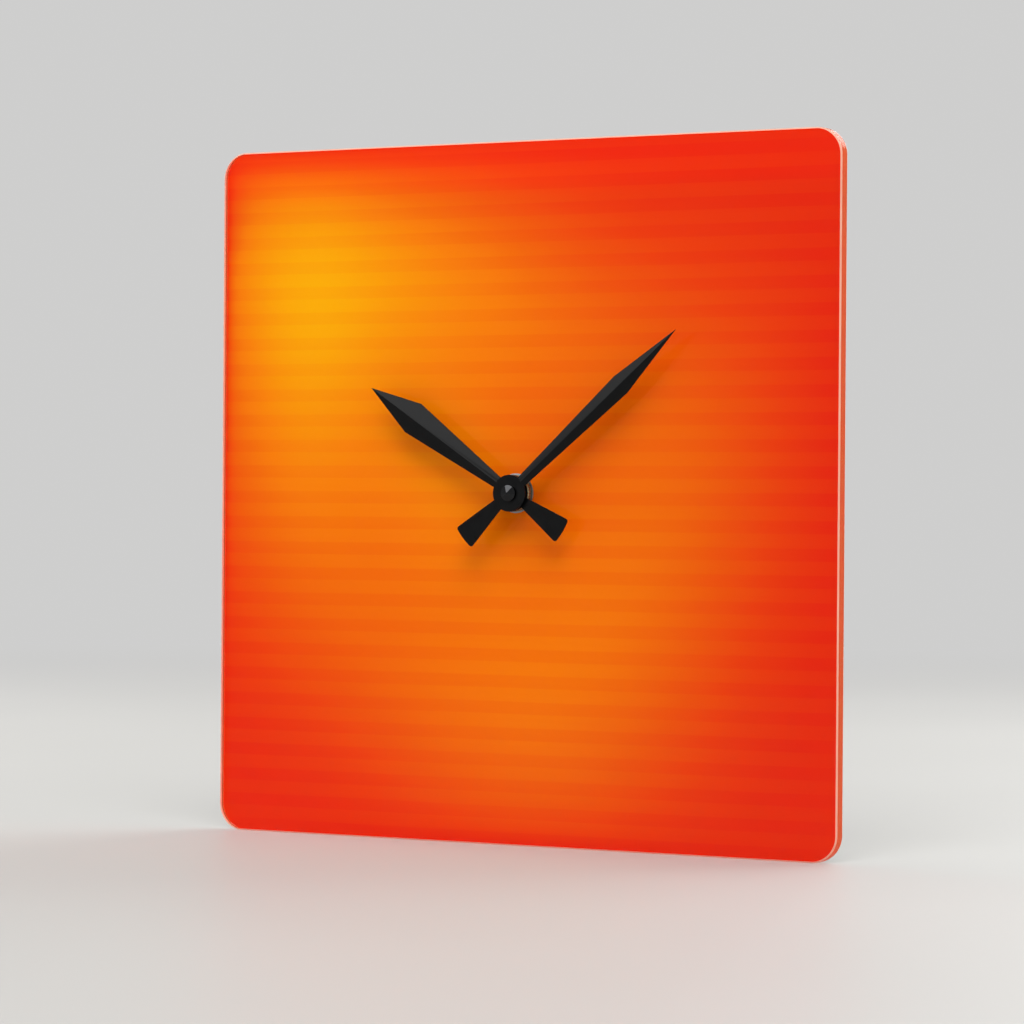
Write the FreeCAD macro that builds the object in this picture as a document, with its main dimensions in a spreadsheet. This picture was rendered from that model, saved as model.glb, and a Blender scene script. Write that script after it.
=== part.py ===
import FreeCAD, Part
import math
import os
import re
from types import SimpleNamespace

import Sketcher

# Wall clock: a square acrylic face with two hands, carried by a battery quartz movement.
#
# Every piece is drawn lying on its back: its own x runs to the clock's right, its own y
# up the clock, and its own z from the wall towards the viewer. The piece's Placement
# then stands it up, so the row's frame has +X right, +Z up and the face towards -Y.
# The origin is on the hands' axis, in the plane of the wall. A height is a distance
# from the wall.

doc = FreeCAD.newDocument("WallClock")

# ---------------------------------------------------------------- driving dimensions

DIMENSIONS = {
    # face, from the front to the back
    "panel_side": 203.2,
    "panel_corner": 7.8,
    "panel_thickness": 3.8,
    "panel_chamfer": 0.4,
    "panel_hole_clearance": 0.3,
    "film_thickness": 0.15,
    "film_inset": 0.1,
    "backing_thickness": 0.15,
    "gasket_thickness": 1.0,
    "gasket_radius": 12.0,
    # steel hanger
    "hanger_thickness": 1.0,
    "hanger_width": 22.0,
    "hanger_foot": 9.0,
    "hanger_top_margin": 2.2,
    "hanger_bend": 0.6,
    "hanger_case_gap": 0.3,
    "keyhole_radius": 4.0,
    "keyhole_slot_radius": 2.1,
    "keyhole_rise": 6.5,
    "keyhole_from_case": 8.5,
    # neck, washer and nut
    "neck_radius": 3.9,
    "neck_flange_radius": 5.0,
    "neck_flange_thickness": 0.6,
    "neck_proud_of_nut": 0.2,
    "thread_pitch": 0.75,
    "thread_depth": 0.35,
    "washer_radius": 5.7,
    "washer_thickness": 0.4,
    "nut_radius": 5.3,
    "nut_thickness": 1.8,
    "nut_chamfer": 0.25,
    "knurl_flutes": 36,
    "knurl_radius": 0.18,
    "fit": 0.05,
    # hands
    "hand_disc_radius": 5.3,
    "hand_thickness": 0.35,
    "hand_crease_rise": 0.15,
    "hand_crease_slope": 12.0,
    "nut_to_hour_hand": 0.5,
    "hour_to_minute_hand": 0.95,
    "hand_tail_radius": 20.0,
    "hand_tail_corner": 0.8,
    "minute_hand_angle": 49.0,
    "minute_hand_tip": 70.3,
    "minute_hand_wide_at": 47.0,
    "minute_hand_half_width": 3.16,
    "minute_hand_half_base": 1.62,
    "minute_tail_half_end": 3.75,
    "minute_tail_half_base": 1.75,
    "hour_hand_angle": 303.0,
    "hour_hand_tip": 56.2,
    "hour_hand_wide_at": 40.0,
    "hour_hand_half_width": 4.9,
    "hour_hand_half_base": 1.7,
    "hour_tail_half_end": 3.83,
    "hour_tail_half_base": 1.65,
    "cap_radius": 2.35,
    "cap_cone_height": 0.75,
    "cap_flat_radius": 0.25,
    "cap_end_gap": 0.1,
    # arbors and tubes on the hands' axis
    "seconds_arbor_radius": 0.4,
    "minute_arbor_radius": 1.5,
    "minute_arbor_flat": 1.15,
    "minute_arbor_proud": 0.7,
    "hour_tube_radius": 2.5,
    "hour_tube_proud": 0.2,
    "clutch_collar_radius": 2.4,
    "clutch_collar_thickness": 0.4,
    "clutch_spring_thickness": 0.2,
    # movement case
    "works_drop": 10.4,
    "case_wall": 1.4,
    "case_front_wall": 1.5,
    "case_corner": 3.0,
    "case_front_chamfer": 0.6,
    "bay_clearance": 0.5,
    "bay_partition": 1.2,
    "cover_thickness": 1.2,
    "cover_clearance": 0.1,
    "cover_ledge": 3.0,
    "cover_lug_length": 6.0,
    "cover_lug_reach": 0.8,
    "cover_lug_height": 0.8,
    "plate_thickness": 1.0,
    "plate_clearance": 0.3,
    "plate_post_radius": 1.8,
    "plate_peg_radius": 0.9,
    "plate_post_inset": 4.0,
    "boss_radius": 1.2,
    "pivot_depth": 0.8,
    # wheels
    "wheel_thickness": 0.8,
    "wheel_gap": 0.4,
    "arbor_radius": 0.4,
    "train_clearance": 0.45,
    "motion_arbor_radius": 0.5,
    "motion_direction": 40.0,
    "motion_module": 0.3,
    "minute_pinion_teeth": 15,
    "motion_wheel_teeth": 45,
    "motion_pinion_teeth": 12,
    "hour_wheel_teeth": 48,
    "setting_pinion_teeth": 15,
    "setting_direction": -50.0,
    "setting_shaft_radius": 1.0,
    "centre_wheel_module": 0.155,
    "centre_wheel_teeth": 80,
    "third_pinion_teeth": 10,
    "third_wheel_teeth": 60,
    "third_direction": 170.0,
    "seconds_pinion_teeth": 8,
    "seconds_wheel_teeth": 60,
    "intermediate_pinion_teeth": 12,
    "intermediate_direction": 60.0,
    "intermediate_wheel_teeth": 60,
    "rotor_pinion_teeth": 10,
    "rotor_direction": 45.0,
    # setting knob in its well
    "well_clearance": 1.4,
    "well_wall": 0.8,
    "knob_radius": 4.8,
    "knob_disc_thickness": 1.0,
    "knob_bar_height": 1.2,
    "knob_bar_width": 2.2,
    "knob_recess": 0.2,
    "knob_end_gap": 0.4,
    # stepping motor
    "magnet_radius": 2.5,
    "magnet_thickness": 1.8,
    "stator_gap": 0.5,
    "stator_ring": 1.4,
    "stator_thickness": 0.8,
    "stator_bar_half_width": 1.9,
    "stator_bar_lift": 1.7,
    "stator_left": 8.0,
    "stator_right": 20.0,
    "stator_leg_width": 3.5,
    "stator_peg_radius": 0.6,
    "coil_gap": 3.66,
    "coil_top_gap": 2.5,
    "coil_core_half_width": 1.8,
    "coil_core_thickness": 0.8,
    "coil_radius": 2.8,
    "bobbin_flange_radius": 3.1,
    "bobbin_flange_thickness": 0.6,
    "bobbin_wall": 0.3,
    "bobbin_end_gap": 0.5,
    "bobbin_cover_gap": 0.3,
    # electronics
    "board_thickness": 0.8,
    "board_edge_gap": 0.5,
    "board_motor_gap": 3.3,
    "board_ledge_gap": 0.6,
    "board_bottom": 1.0,
    "chip_radius": 3.0,
    "chip_height": 1.2,
    "crystal_radius": 1.05,
    "crystal_length": 6.2,
    "crystal_lead_radius": 0.2,
    "crystal_lead_length": 2.2,
    # battery and contacts
    "battery_radius": 7.0,
    "battery_length": 50.0,
    "battery_nub_radius": 2.7,
    "battery_nub_length": 1.0,
    "battery_floor_gap": 0.3,
    "battery_recess": 0.2,
    "battery_end_gap": 0.1,
    "battery_shoulder": 0.8,
    "contact_thickness": 0.4,
    "contact_height": 12.0,
    "contact_depth": 8.5,
    "contact_strip_width": 3.0,
    "contact_strip_height": 5.0,
    "contact_slot_clearance": 0.3,
    "contact_leaf_thickness": 0.3,
    "contact_leaf_space": 2.3,
}

sheet = doc.addObject("Spreadsheet::Sheet", "Sizes")
for row, (alias, number) in enumerate(DIMENSIONS.items(), start=1):
    sheet.set(f"A{row}", str(number))
    sheet.setAlias(f"A{row}", alias)
doc.recompute()


class Size:
    """A dimension that carries the sheet's formula for it as well as its number."""

    def __init__(self, formula, number):
        self.formula = formula
        self.number = number

    @staticmethod
    def of(value):
        return value if isinstance(value, Size) else Size(f"({value})", float(value))

    def __add__(self, other):
        other = Size.of(other)
        return Size(f"({self.formula} + {other.formula})", self.number + other.number)

    def __sub__(self, other):
        other = Size.of(other)
        return Size(f"({self.formula} - {other.formula})", self.number - other.number)

    def __mul__(self, other):
        other = Size.of(other)
        return Size(f"({self.formula} * {other.formula})", self.number * other.number)

    def __truediv__(self, other):
        other = Size.of(other)
        return Size(f"({self.formula} / {other.formula})", self.number / other.number)

    def __neg__(self):
        return Size(f"(0 - {self.formula})", -self.number)

    def __float__(self):
        return self.number

    __radd__ = __add__
    __rmul__ = __mul__

    def __rsub__(self, other):
        return Size.of(other) - self

    def cos(self):
        return Size(f"cos({self.formula})", math.cos(math.radians(self.number)))

    def sin(self):
        return Size(f"sin({self.formula})", math.sin(math.radians(self.number)))

    def tan(self):
        return Size(f"tan({self.formula})", math.tan(math.radians(self.number)))


def larger(one, other):
    one = Size.of(one)
    other = Size.of(other)
    formula = f"max({one.formula}; {other.formula})"
    return Size(formula, max(one.number, other.number))


S = SimpleNamespace(
    **{alias: Size(f"Sizes.{alias}", float(sheet.get(alias))) for alias in DIMENSIONS}
)

# ------------------------------------------------------------------- worked-out sizes

# what the case must hold behind its front wall: the cell, or the works over the coil
battery_stack = S.battery_recess + 2 * S.battery_radius + S.battery_floor_gap
motion_stack = 3 * S.wheel_gap + 2 * S.wheel_thickness
clutch_stack = S.clutch_spring_thickness + S.clutch_collar_thickness
train_stack = S.plate_thickness + 3 * S.wheel_gap + 2 * S.wheel_thickness + clutch_stack
coil_stack = S.stator_thickness + S.coil_core_thickness / 2 + S.bobbin_flange_radius
works_stack = (
    motion_stack + train_stack + coil_stack + S.bobbin_cover_gap + S.cover_thickness
)

# heights of the stack, from the wall to the cap nut
front_wall_back = larger(battery_stack, works_stack)
battery_middle = front_wall_back - S.battery_floor_gap - S.battery_radius
case_front = front_wall_back + S.case_front_wall
hanger_front = case_front + S.hanger_thickness
gasket_front = hanger_front + S.gasket_thickness
backing_front = gasket_front + S.backing_thickness
panel_back = backing_front + S.film_thickness
panel_front = panel_back + S.panel_thickness
washer_front = panel_front + S.washer_thickness
nut_front = washer_front + S.nut_thickness
neck_front = nut_front + S.neck_proud_of_nut
hour_hand_back = nut_front + S.nut_to_hour_hand
hour_hand_front = hour_hand_back + S.hand_thickness
minute_hand_back = hour_hand_front + S.hour_to_minute_hand
minute_hand_front = minute_hand_back + S.hand_thickness
minute_arbor_front = minute_hand_front + S.minute_arbor_proud

# heights inside the movement, from the front wall back to the cover
hour_wheel_front = front_wall_back - S.wheel_gap
hour_wheel_back = hour_wheel_front - S.wheel_thickness
motion_wheel_front = hour_wheel_back - S.wheel_gap
motion_wheel_back = motion_wheel_front - S.wheel_thickness
plate_front = motion_wheel_back - S.wheel_gap
plate_back = plate_front - S.plate_thickness
centre_wheel_front = plate_back - S.wheel_gap
centre_wheel_back = centre_wheel_front - S.wheel_thickness
clutch_spring_back = centre_wheel_back - S.clutch_spring_thickness
clutch_collar_back = clutch_spring_back - S.clutch_collar_thickness
third_wheel_front = clutch_collar_back - S.wheel_gap
third_wheel_back = third_wheel_front - S.wheel_thickness
seconds_wheel_front = third_wheel_back - S.wheel_gap
seconds_wheel_back = seconds_wheel_front - S.wheel_thickness
intermediate_wheel_front = seconds_wheel_back - S.wheel_gap
intermediate_wheel_back = intermediate_wheel_front - S.wheel_thickness
third_boss_top = intermediate_wheel_front
low_boss_top = intermediate_wheel_back - S.wheel_gap
mesh_overhang = S.wheel_gap / 4
stator_front = seconds_wheel_front
stator_back = stator_front - S.stator_thickness
magnet_back = intermediate_wheel_front + S.wheel_gap / 2

# half widths of a tooth at its root, pitch line and tip, its height above the pitch
# line and its depth below it, all in modules; pinions have slimmer, lower leaves
WHEEL_TOOTH = SimpleNamespace(root=0.95, pitch=0.68, tip=0.22, height=1.0, depth=1.25)
PINION_TOOTH = SimpleNamespace(root=0.46, pitch=0.66, tip=0.24, height=0.85, depth=1.25)
FEW_TEETH = 20

# centre distances of the meshing pairs, and the modules that make each pair fit
motion_distance = S.motion_module * (S.minute_pinion_teeth + S.motion_wheel_teeth) / 2
setting_distance = S.motion_module * (S.setting_pinion_teeth + S.motion_wheel_teeth) / 2
hour_module = 2 * motion_distance / (S.motion_pinion_teeth + S.hour_wheel_teeth)
third_distance = S.centre_wheel_module * (S.centre_wheel_teeth + S.third_pinion_teeth) / 2
third_module = 2 * third_distance / (S.third_wheel_teeth + S.seconds_pinion_teeth)
centre_wheel_tip = S.centre_wheel_module * (S.centre_wheel_teeth / 2 + WHEEL_TOOTH.height)
intermediate_distance = centre_wheel_tip + S.arbor_radius + S.train_clearance
seconds_module = (
    2 * intermediate_distance / (S.seconds_wheel_teeth + S.intermediate_pinion_teeth)
)
intermediate_tip = (
    seconds_module * (S.intermediate_pinion_teeth / 2 + PINION_TOOTH.height)
)
stator_bore = S.magnet_radius + S.stator_gap
stator_ring_radius = stator_bore + S.stator_ring
rotor_distance = stator_ring_radius + intermediate_tip + S.train_clearance
rotor_module = 2 * rotor_distance / (S.intermediate_wheel_teeth + S.rotor_pinion_teeth)


def from_point(point, distance, direction):
    """The place at a distance from a point, in a direction counted from the right."""
    return (point[0] + distance * direction.cos(), point[1] + distance * direction.sin())


# where the arbors stand, as (x, y) from the hands' axis
CENTRE = (Size.of(0), Size.of(0))
motion_at = from_point(CENTRE, motion_distance, S.motion_direction)
setting_at = from_point(motion_at, setting_distance, S.setting_direction)
third_at = from_point(CENTRE, third_distance, S.third_direction)
intermediate_at = from_point(CENTRE, intermediate_distance, S.intermediate_direction)
rotor_at = from_point(intermediate_at, rotor_distance, S.rotor_direction)

# radii of holes and fits
neck_bore = S.hour_tube_radius + S.fit
hour_tube_bore = S.minute_arbor_radius + S.fit
minute_arbor_bore = S.seconds_arbor_radius + S.fit
neck_hole = S.neck_radius + S.fit
panel_hole = S.neck_radius + S.panel_hole_clearance

# the cell and its bay, along x and y; the case is as wide inside as they need
inner_half = (
    S.battery_length + S.battery_end_gap + 2 * S.contact_thickness + S.contact_leaf_space
) / 2
case_half = inner_half + S.case_wall
battery_tip = inner_half - S.contact_thickness - S.battery_end_gap
battery_foot = battery_tip - S.battery_length
partition_top = -S.works_drop
bay_top = partition_top - S.bay_partition
bay_middle = bay_top - S.bay_clearance - S.battery_radius
bay_bottom = bay_middle - S.battery_radius - S.bay_clearance
case_bottom = bay_bottom - S.case_wall

# the motor above the hands' axis; the case is as high inside as it needs
stator_middle = rotor_at[1] + S.stator_bar_lift
stator_low = stator_middle - S.stator_bar_half_width
stator_high = stator_middle + S.stator_bar_half_width
coil_height = stator_high + S.coil_gap + S.bobbin_flange_radius
inner_top = coil_height + S.bobbin_flange_radius + S.coil_top_gap
case_top = inner_top + S.case_wall

# edges of the rear cover and the middle plate
cover_half = inner_half - S.cover_clearance
cover_top = inner_top - S.cover_clearance
cover_bottom = partition_top + S.cover_clearance
plate_half = inner_half - S.plate_clearance
plate_top = inner_top - S.plate_clearance
plate_bottom = partition_top + S.plate_clearance
post_x = inner_half - S.plate_post_inset
post_top = inner_top - S.plate_post_inset
post_bottom = partition_top + S.plate_post_inset

# ----------------------------------------------------------------- drawing functions

STAND_UP = FreeCAD.Rotation(FreeCAD.Vector(1, 0, 0), 90)
FORWARD = FreeCAD.Vector(0, 0, 1)
RIGHTWARD = FreeCAD.Vector(1, 0, 0)
sub_parts = []


def keep(piece, label, x=0, y=0, height=0, clock_angle=0):
    """Label a finished piece and stand it up at x, y and height, turned clockwise."""
    piece.Label = label
    turn = FreeCAD.Rotation(FORWARD, -float(clock_angle))
    base = FreeCAD.Vector(float(x), -float(height), float(y))
    piece.Placement = FreeCAD.Placement(base, STAND_UP.multiply(turn))
    for axis, place in (("x", x), ("y", -Size.of(height)), ("z", y)):
        if isinstance(place, Size) and "Sizes" in place.formula:
            piece.setExpression(f"Placement.Base.{axis}", place.formula)
    sub_parts.append(piece)
    return piece


def bind(thing, prop, value):
    """Set a property and tie it to the sheet where its value comes from there."""
    if isinstance(value, Size):
        thing.setExpression(prop, value.formula)
    else:
        setattr(thing, prop, value)


def new_body(name):
    return doc.addObject("PartDesign::Body", name)


def new_sketch(body, name, height=0, role="XY_Plane"):
    """A sketch on one of the body's own origin planes, lifted off it by height."""
    sketch = body.newObject("Sketcher::SketchObject", name)
    plane = next(o for o in body.Origin.OriginFeatures if o.Role == role)
    sketch.AttachmentSupport = [(plane, "")]
    sketch.MapMode = "FlatFace"
    lift = Size.of(height)
    sketch.AttachmentOffset = FreeCAD.Placement(
        FreeCAD.Vector(0, 0, lift.number), FreeCAD.Rotation()
    )
    if "Sizes" in lift.formula:
        sketch.setExpression("AttachmentOffset.Base.z", lift.formula)
    return sketch


def constrain(sketch, kind, value, *where):
    """Add a dimension to a sketch, tied to the sheet where its value comes from there."""
    index = sketch.addConstraint(Sketcher.Constraint(kind, *where, float(value)))
    if isinstance(value, Size) and "Sizes" in value.formula:
        sketch.setExpression(f"Constraints[{index}]", value.formula)


def fix_point(sketch, geometry, end, x, y):
    constrain(sketch, "DistanceX", x, -1, 1, geometry, end)
    constrain(sketch, "DistanceY", y, -1, 1, geometry, end)


def draw_polygon(sketch, points):
    """A closed outline of straight lines, with every corner dimensioned."""
    corners = [FreeCAD.Vector(float(x), float(y), 0) for x, y in points]
    count = len(corners)
    first = len(sketch.Geometry)
    for i in range(count):
        sketch.addGeometry(Part.LineSegment(corners[i], corners[(i + 1) % count]), False)
    for i in range(count):
        sketch.addConstraint(
            Sketcher.Constraint("Coincident", first + i, 2, first + (i + 1) % count, 1)
        )
    for i, (x, y) in enumerate(points):
        fix_point(sketch, first + i, 1, x, y)


def draw_rectangle(sketch, left, bottom, right, top):
    draw_polygon(sketch, [(left, bottom), (right, bottom), (right, top), (left, top)])


def draw_circle(sketch, radius, x=0, y=0):
    centre = FreeCAD.Vector(float(x), float(y), 0)
    circle = sketch.addGeometry(Part.Circle(centre, FORWARD, float(radius)), False)
    constrain(sketch, "Radius", radius, circle)
    fix_point(sketch, circle, 3, x, y)


def draw_flatted_circle(sketch, radius, flat):
    """A circle at the origin with a flat on its left and its right."""
    half = math.acos(float(flat) / float(radius))
    arcs = []
    for middle in (math.pi / 2, -math.pi / 2):
        reach = math.pi / 2 - half
        ring = Part.Circle(FreeCAD.Vector(0, 0, 0), FORWARD, float(radius))
        arc = Part.ArcOfCircle(ring, middle - reach, middle + reach)
        arcs.append(sketch.addGeometry(arc, False))
    top, bottom = arcs
    rise = math.sqrt(float(radius) ** 2 - float(flat) ** 2)
    x = float(flat)
    left = Part.LineSegment(FreeCAD.Vector(-x, rise, 0), FreeCAD.Vector(-x, -rise, 0))
    right = Part.LineSegment(FreeCAD.Vector(x, -rise, 0), FreeCAD.Vector(x, rise, 0))
    left = sketch.addGeometry(left, False)
    right = sketch.addGeometry(right, False)
    for one, other in (((top, 2), (left, 1)), ((left, 2), (bottom, 1)),
                       ((bottom, 2), (right, 1)), ((right, 2), (top, 1))):
        sketch.addConstraint(Sketcher.Constraint("Coincident", *one, *other))
    for arc in arcs:
        sketch.addConstraint(Sketcher.Constraint("Coincident", arc, 3, -1, 1))
        constrain(sketch, "Radius", radius, arc)
    for line, side in ((left, -1), (right, 1)):
        sketch.addConstraint(Sketcher.Constraint("Vertical", line))
        constrain(sketch, "DistanceX", side * flat, -1, 1, line, 1)


def draw_fan(sketch, half_base, half_end, base, radius):
    """A fan below the origin: it widens from base down to an arc about the origin."""
    low = -math.sqrt(float(radius) ** 2 - float(half_end) ** 2)
    corners = [
        (half_end, low), (half_base, -base), (half_base, 0),
        (-half_base, 0), (-half_base, -base), (-half_end, low),
    ]
    points = [FreeCAD.Vector(float(x), float(y), 0) for x, y in corners]
    lines = [
        sketch.addGeometry(Part.LineSegment(one, other), False)
        for one, other in zip(points, points[1:])
    ]
    lean = math.asin(float(half_end) / float(radius))
    ring = Part.Circle(FreeCAD.Vector(0, 0, 0), FORWARD, float(radius))
    down = -math.pi / 2
    arc = sketch.addGeometry(Part.ArcOfCircle(ring, down - lean, down + lean), False)
    for one, other in zip(lines, lines[1:]):
        sketch.addConstraint(Sketcher.Constraint("Coincident", one, 2, other, 1))
    sketch.addConstraint(Sketcher.Constraint("Coincident", lines[-1], 2, arc, 1))
    sketch.addConstraint(Sketcher.Constraint("Coincident", arc, 2, lines[0], 1))
    sketch.addConstraint(Sketcher.Constraint("Coincident", arc, 3, -1, 1))
    constrain(sketch, "Radius", radius, arc)
    constrain(sketch, "DistanceX", half_end, -1, 1, lines[0], 1)
    constrain(sketch, "DistanceX", -half_end, -1, 1, lines[-1], 2)
    for line, (x, y) in zip(lines[1:], corners[1:]):
        fix_point(sketch, line, 1, x, y)


def pad(body, sketch, length, down=False):
    feature = body.newObject("PartDesign::Pad", f"{sketch.Name}_pad")
    feature.Profile = sketch
    feature.Reversed = down
    bind(feature, "Length", length)
    return feature


def pocket(body, sketch, length, up=True):
    """Cut the sketch out of the body, upwards from the sketch or downwards."""
    feature = body.newObject("PartDesign::Pocket", f"{sketch.Name}_pocket")
    feature.Profile = sketch
    feature.Reversed = up
    bind(feature, "Length", length)
    return feature


def revolve(body, sketch):
    """Turn a sketch in the body's XZ plane about the body's own z axis."""
    feature = body.newObject("PartDesign::Revolution", f"{sketch.Name}_turned")
    feature.Profile = sketch
    feature.ReferenceAxis = (sketch, ["V_Axis"])
    feature.Angle = 360
    return feature


def edges_where(feature, wanted):
    """Names of the feature's edges that the function wanted accepts."""
    doc.recompute()
    edges = enumerate(feature.Shape.Edges, start=1)
    return [f"Edge{number}" for number, edge in edges if wanted(edge)]


def dress(body, kind, feature, edges, size):
    """A Fillet or Chamfer on the named edges of a feature."""
    dressed = body.newObject(f"PartDesign::{kind}", f"{feature.Name}_{kind}")
    dressed.Base = (feature, edges)
    bind(dressed, "Radius" if kind == "Fillet" else "Size", size)
    return dressed


def is_upright(edge):
    """Whether an edge runs along the piece's own z."""
    if len(edge.Vertexes) != 2:
        return False
    run = edge.Vertexes[1].Point - edge.Vertexes[0].Point
    return abs(run.x) + abs(run.y) < 1e-6 and abs(run.z) > 1e-6


def at_height(edge, height):
    box = edge.BoundBox
    return abs(box.ZMin - float(height)) < 1e-4 and abs(box.ZMax - float(height)) < 1e-4


def tube(outer, inner, low, high, way=FORWARD):
    """A hollow cylinder on one of the piece's own axes, as a Part shape."""
    length = float(high) - float(low)
    foot = way * float(low)
    solid = Part.makeCylinder(float(outer), length, foot, way)
    if float(inner) > 0:
        solid = solid.cut(Part.makeCylinder(float(inner), length, foot, way))
    return solid


def turned(name, label, points, height=0, x=0, y=0):
    """A body turned about its own axis from a profile of (radius, height) corners."""
    body = new_body(name)
    sketch = new_sketch(body, f"{name}_profile", role="XZ_Plane")
    draw_polygon(sketch, points)
    revolve(body, sketch)
    return keep(body, label, x=x, y=y, height=height)


def washer_body(name, label, outer, inner, thickness, height):
    body = new_body(name)
    sketch = new_sketch(body, f"{name}_ring")
    draw_circle(sketch, outer)
    draw_circle(sketch, inner)
    pad(body, sketch, thickness)
    return keep(body, label, height=height)


def shape_piece(name, label, shape, x=0, y=0, height=0):
    """A piece whose shape is worked out here from the sheet's numbers."""
    piece = doc.addObject("Part::Feature", name)
    piece.Shape = shape
    return keep(piece, label, x=x, y=y, height=height)


# ---------------------------------------------------------------------- toothed wheels


def toothed_ring(module, teeth, low, high, tooth_angle):
    """A wheel's toothed disc, with one tooth's middle at tooth_angle (radians)."""
    module = float(module)
    teeth = round(float(teeth))
    form = PINION_TOOTH if teeth < FEW_TEETH else WHEEL_TOOTH
    pitch = module * teeth / 2
    flank = (
        (pitch - form.depth * module, form.root * module),
        (pitch, form.pitch * module),
        (pitch + form.height * module, form.tip * module),
    )
    corners = []
    for i in range(teeth):
        middle = tooth_angle + 2 * math.pi * i / teeth
        rising = [(radius, middle - half / radius) for radius, half in flank]
        falling = [(radius, middle + half / radius) for radius, half in reversed(flank)]
        corners += rising + falling
    base = float(low)
    points = [
        FreeCAD.Vector(radius * math.cos(angle), radius * math.sin(angle), base)
        for radius, angle in corners
    ]
    outline = Part.makePolygon(points + points[:1])
    return Part.Face(outline).extrude(FORWARD * (float(high) - base))


def partner_angle(direction, tooth_angle, teeth, partner_teeth):
    """Angle of a tooth of the partner that meshes with a wheel at this tooth_angle.

    direction is the way from the wheel to its partner, all angles in radians.
    """
    ratio = float(teeth) / float(partner_teeth)
    opposite = direction + math.pi - math.pi / float(partner_teeth)
    return opposite - (tooth_angle - direction) * ratio


def direction_between(one, other):
    run_x = float(other[0]) - float(one[0])
    run_y = float(other[1]) - float(one[1])
    return math.atan2(run_y, run_x)


to_motion = direction_between(CENTRE, motion_at)
to_setting = direction_between(motion_at, setting_at)
to_third = direction_between(CENTRE, third_at)
to_intermediate = direction_between(CENTRE, intermediate_at)
to_rotor = direction_between(intermediate_at, rotor_at)

# -------------------------------------------------------------------------- the face


def square_sheet(name, label, side, corner, thickness, hole, height):
    """A square sheet with rounded corners and a hole for the neck."""
    body = new_body(name)
    outline = new_sketch(body, f"{name}_outline")
    half = side / 2
    draw_rectangle(outline, -half, -half, half, half)
    square = pad(body, outline, thickness)
    dress(body, "Fillet", square, edges_where(square, is_upright), corner)
    centre = new_sketch(body, f"{name}_hole")
    draw_circle(centre, hole)
    pocket(body, centre, thickness)
    return keep(body, label, height=height)


def make_face():
    """Clear acrylic face with a polished arris, its print and the print's backing."""
    panel = square_sheet(
        "panel", "face_panel", S.panel_side, S.panel_corner, S.panel_thickness,
        panel_hole, panel_back,
    )
    drilled = panel.Tip
    far_out = float(S.panel_side) / 2 - float(S.panel_corner)

    def is_front_rim(edge):
        reach = edge.CenterOfMass
        away = max(abs(reach.x), abs(reach.y))
        return at_height(edge, S.panel_thickness) and away > far_out

    dress(panel, "Chamfer", drilled, edges_where(drilled, is_front_rim), S.panel_chamfer)
    inset_side = S.panel_side - 2 * S.film_inset
    inset_corner = S.panel_corner - S.film_inset
    square_sheet("film", "print_film", inset_side, inset_corner, S.film_thickness,
                 panel_hole, backing_front)
    square_sheet("backing", "white_backing", inset_side, inset_corner,
                 S.backing_thickness, panel_hole, gasket_front)


# ------------------------------------------------------------------ neck and clamping


def make_neck():
    """Brass neck: a flanged tube with a thread of plain rings along its front half."""
    flange_top = S.neck_flange_thickness
    start = panel_back - front_wall_back
    end = neck_front - front_wall_back
    turns = int((float(end) - float(start)) / float(S.thread_pitch))
    points = [
        (neck_bore, 0),
        (S.neck_flange_radius, 0),
        (S.neck_flange_radius, flange_top),
        (S.neck_radius, flange_top),
    ]
    for turn in range(turns):
        crest = start + S.thread_pitch * turn
        points.append((S.neck_radius, crest))
        points.append((S.neck_radius - S.thread_depth, crest + S.thread_pitch / 2))
    points.append((S.neck_radius, start + S.thread_pitch * turns))
    points.append((S.neck_radius, end))
    points.append((neck_bore, end))
    turned("neck", "threaded_neck", points, height=front_wall_back)


def make_nut():
    """Round brass nut with a straight knurl and chamfered rims."""
    body = new_body("nut")
    sketch = new_sketch(body, "nut_profile", role="XZ_Plane")
    rim = S.nut_radius - S.nut_chamfer
    draw_polygon(sketch, [
        (neck_hole, 0),
        (rim, 0),
        (S.nut_radius, S.nut_chamfer),
        (S.nut_radius, S.nut_thickness - S.nut_chamfer),
        (rim, S.nut_thickness),
        (neck_hole, S.nut_thickness),
    ])
    revolve(body, sketch)
    flute_sketch = new_sketch(body, "nut_flute")
    draw_circle(flute_sketch, S.knurl_radius, x=S.nut_radius)
    flute = pocket(body, flute_sketch, S.nut_thickness)
    knurl = body.newObject("PartDesign::PolarPattern", "nut_knurl")
    knurl.Originals = [flute]
    axis = next(o for o in body.Origin.OriginFeatures if o.Role == "Z_Axis")
    knurl.Axis = (axis, [""])
    knurl.Angle = 360
    bind(knurl, "Occurrences", S.knurl_flutes)
    body.Tip = knurl
    keep(body, "centre_nut", height=washer_front)


def make_clamping():
    """What clamps the movement to the face, from the washer back to the gasket."""
    make_neck()
    make_nut()
    washer_body("washer", "flat_washer", S.washer_radius, neck_hole,
                S.washer_thickness, panel_front)
    washer_body("gasket", "rubber_gasket", S.gasket_radius, panel_hole,
                S.gasket_thickness, hanger_front)


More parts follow.
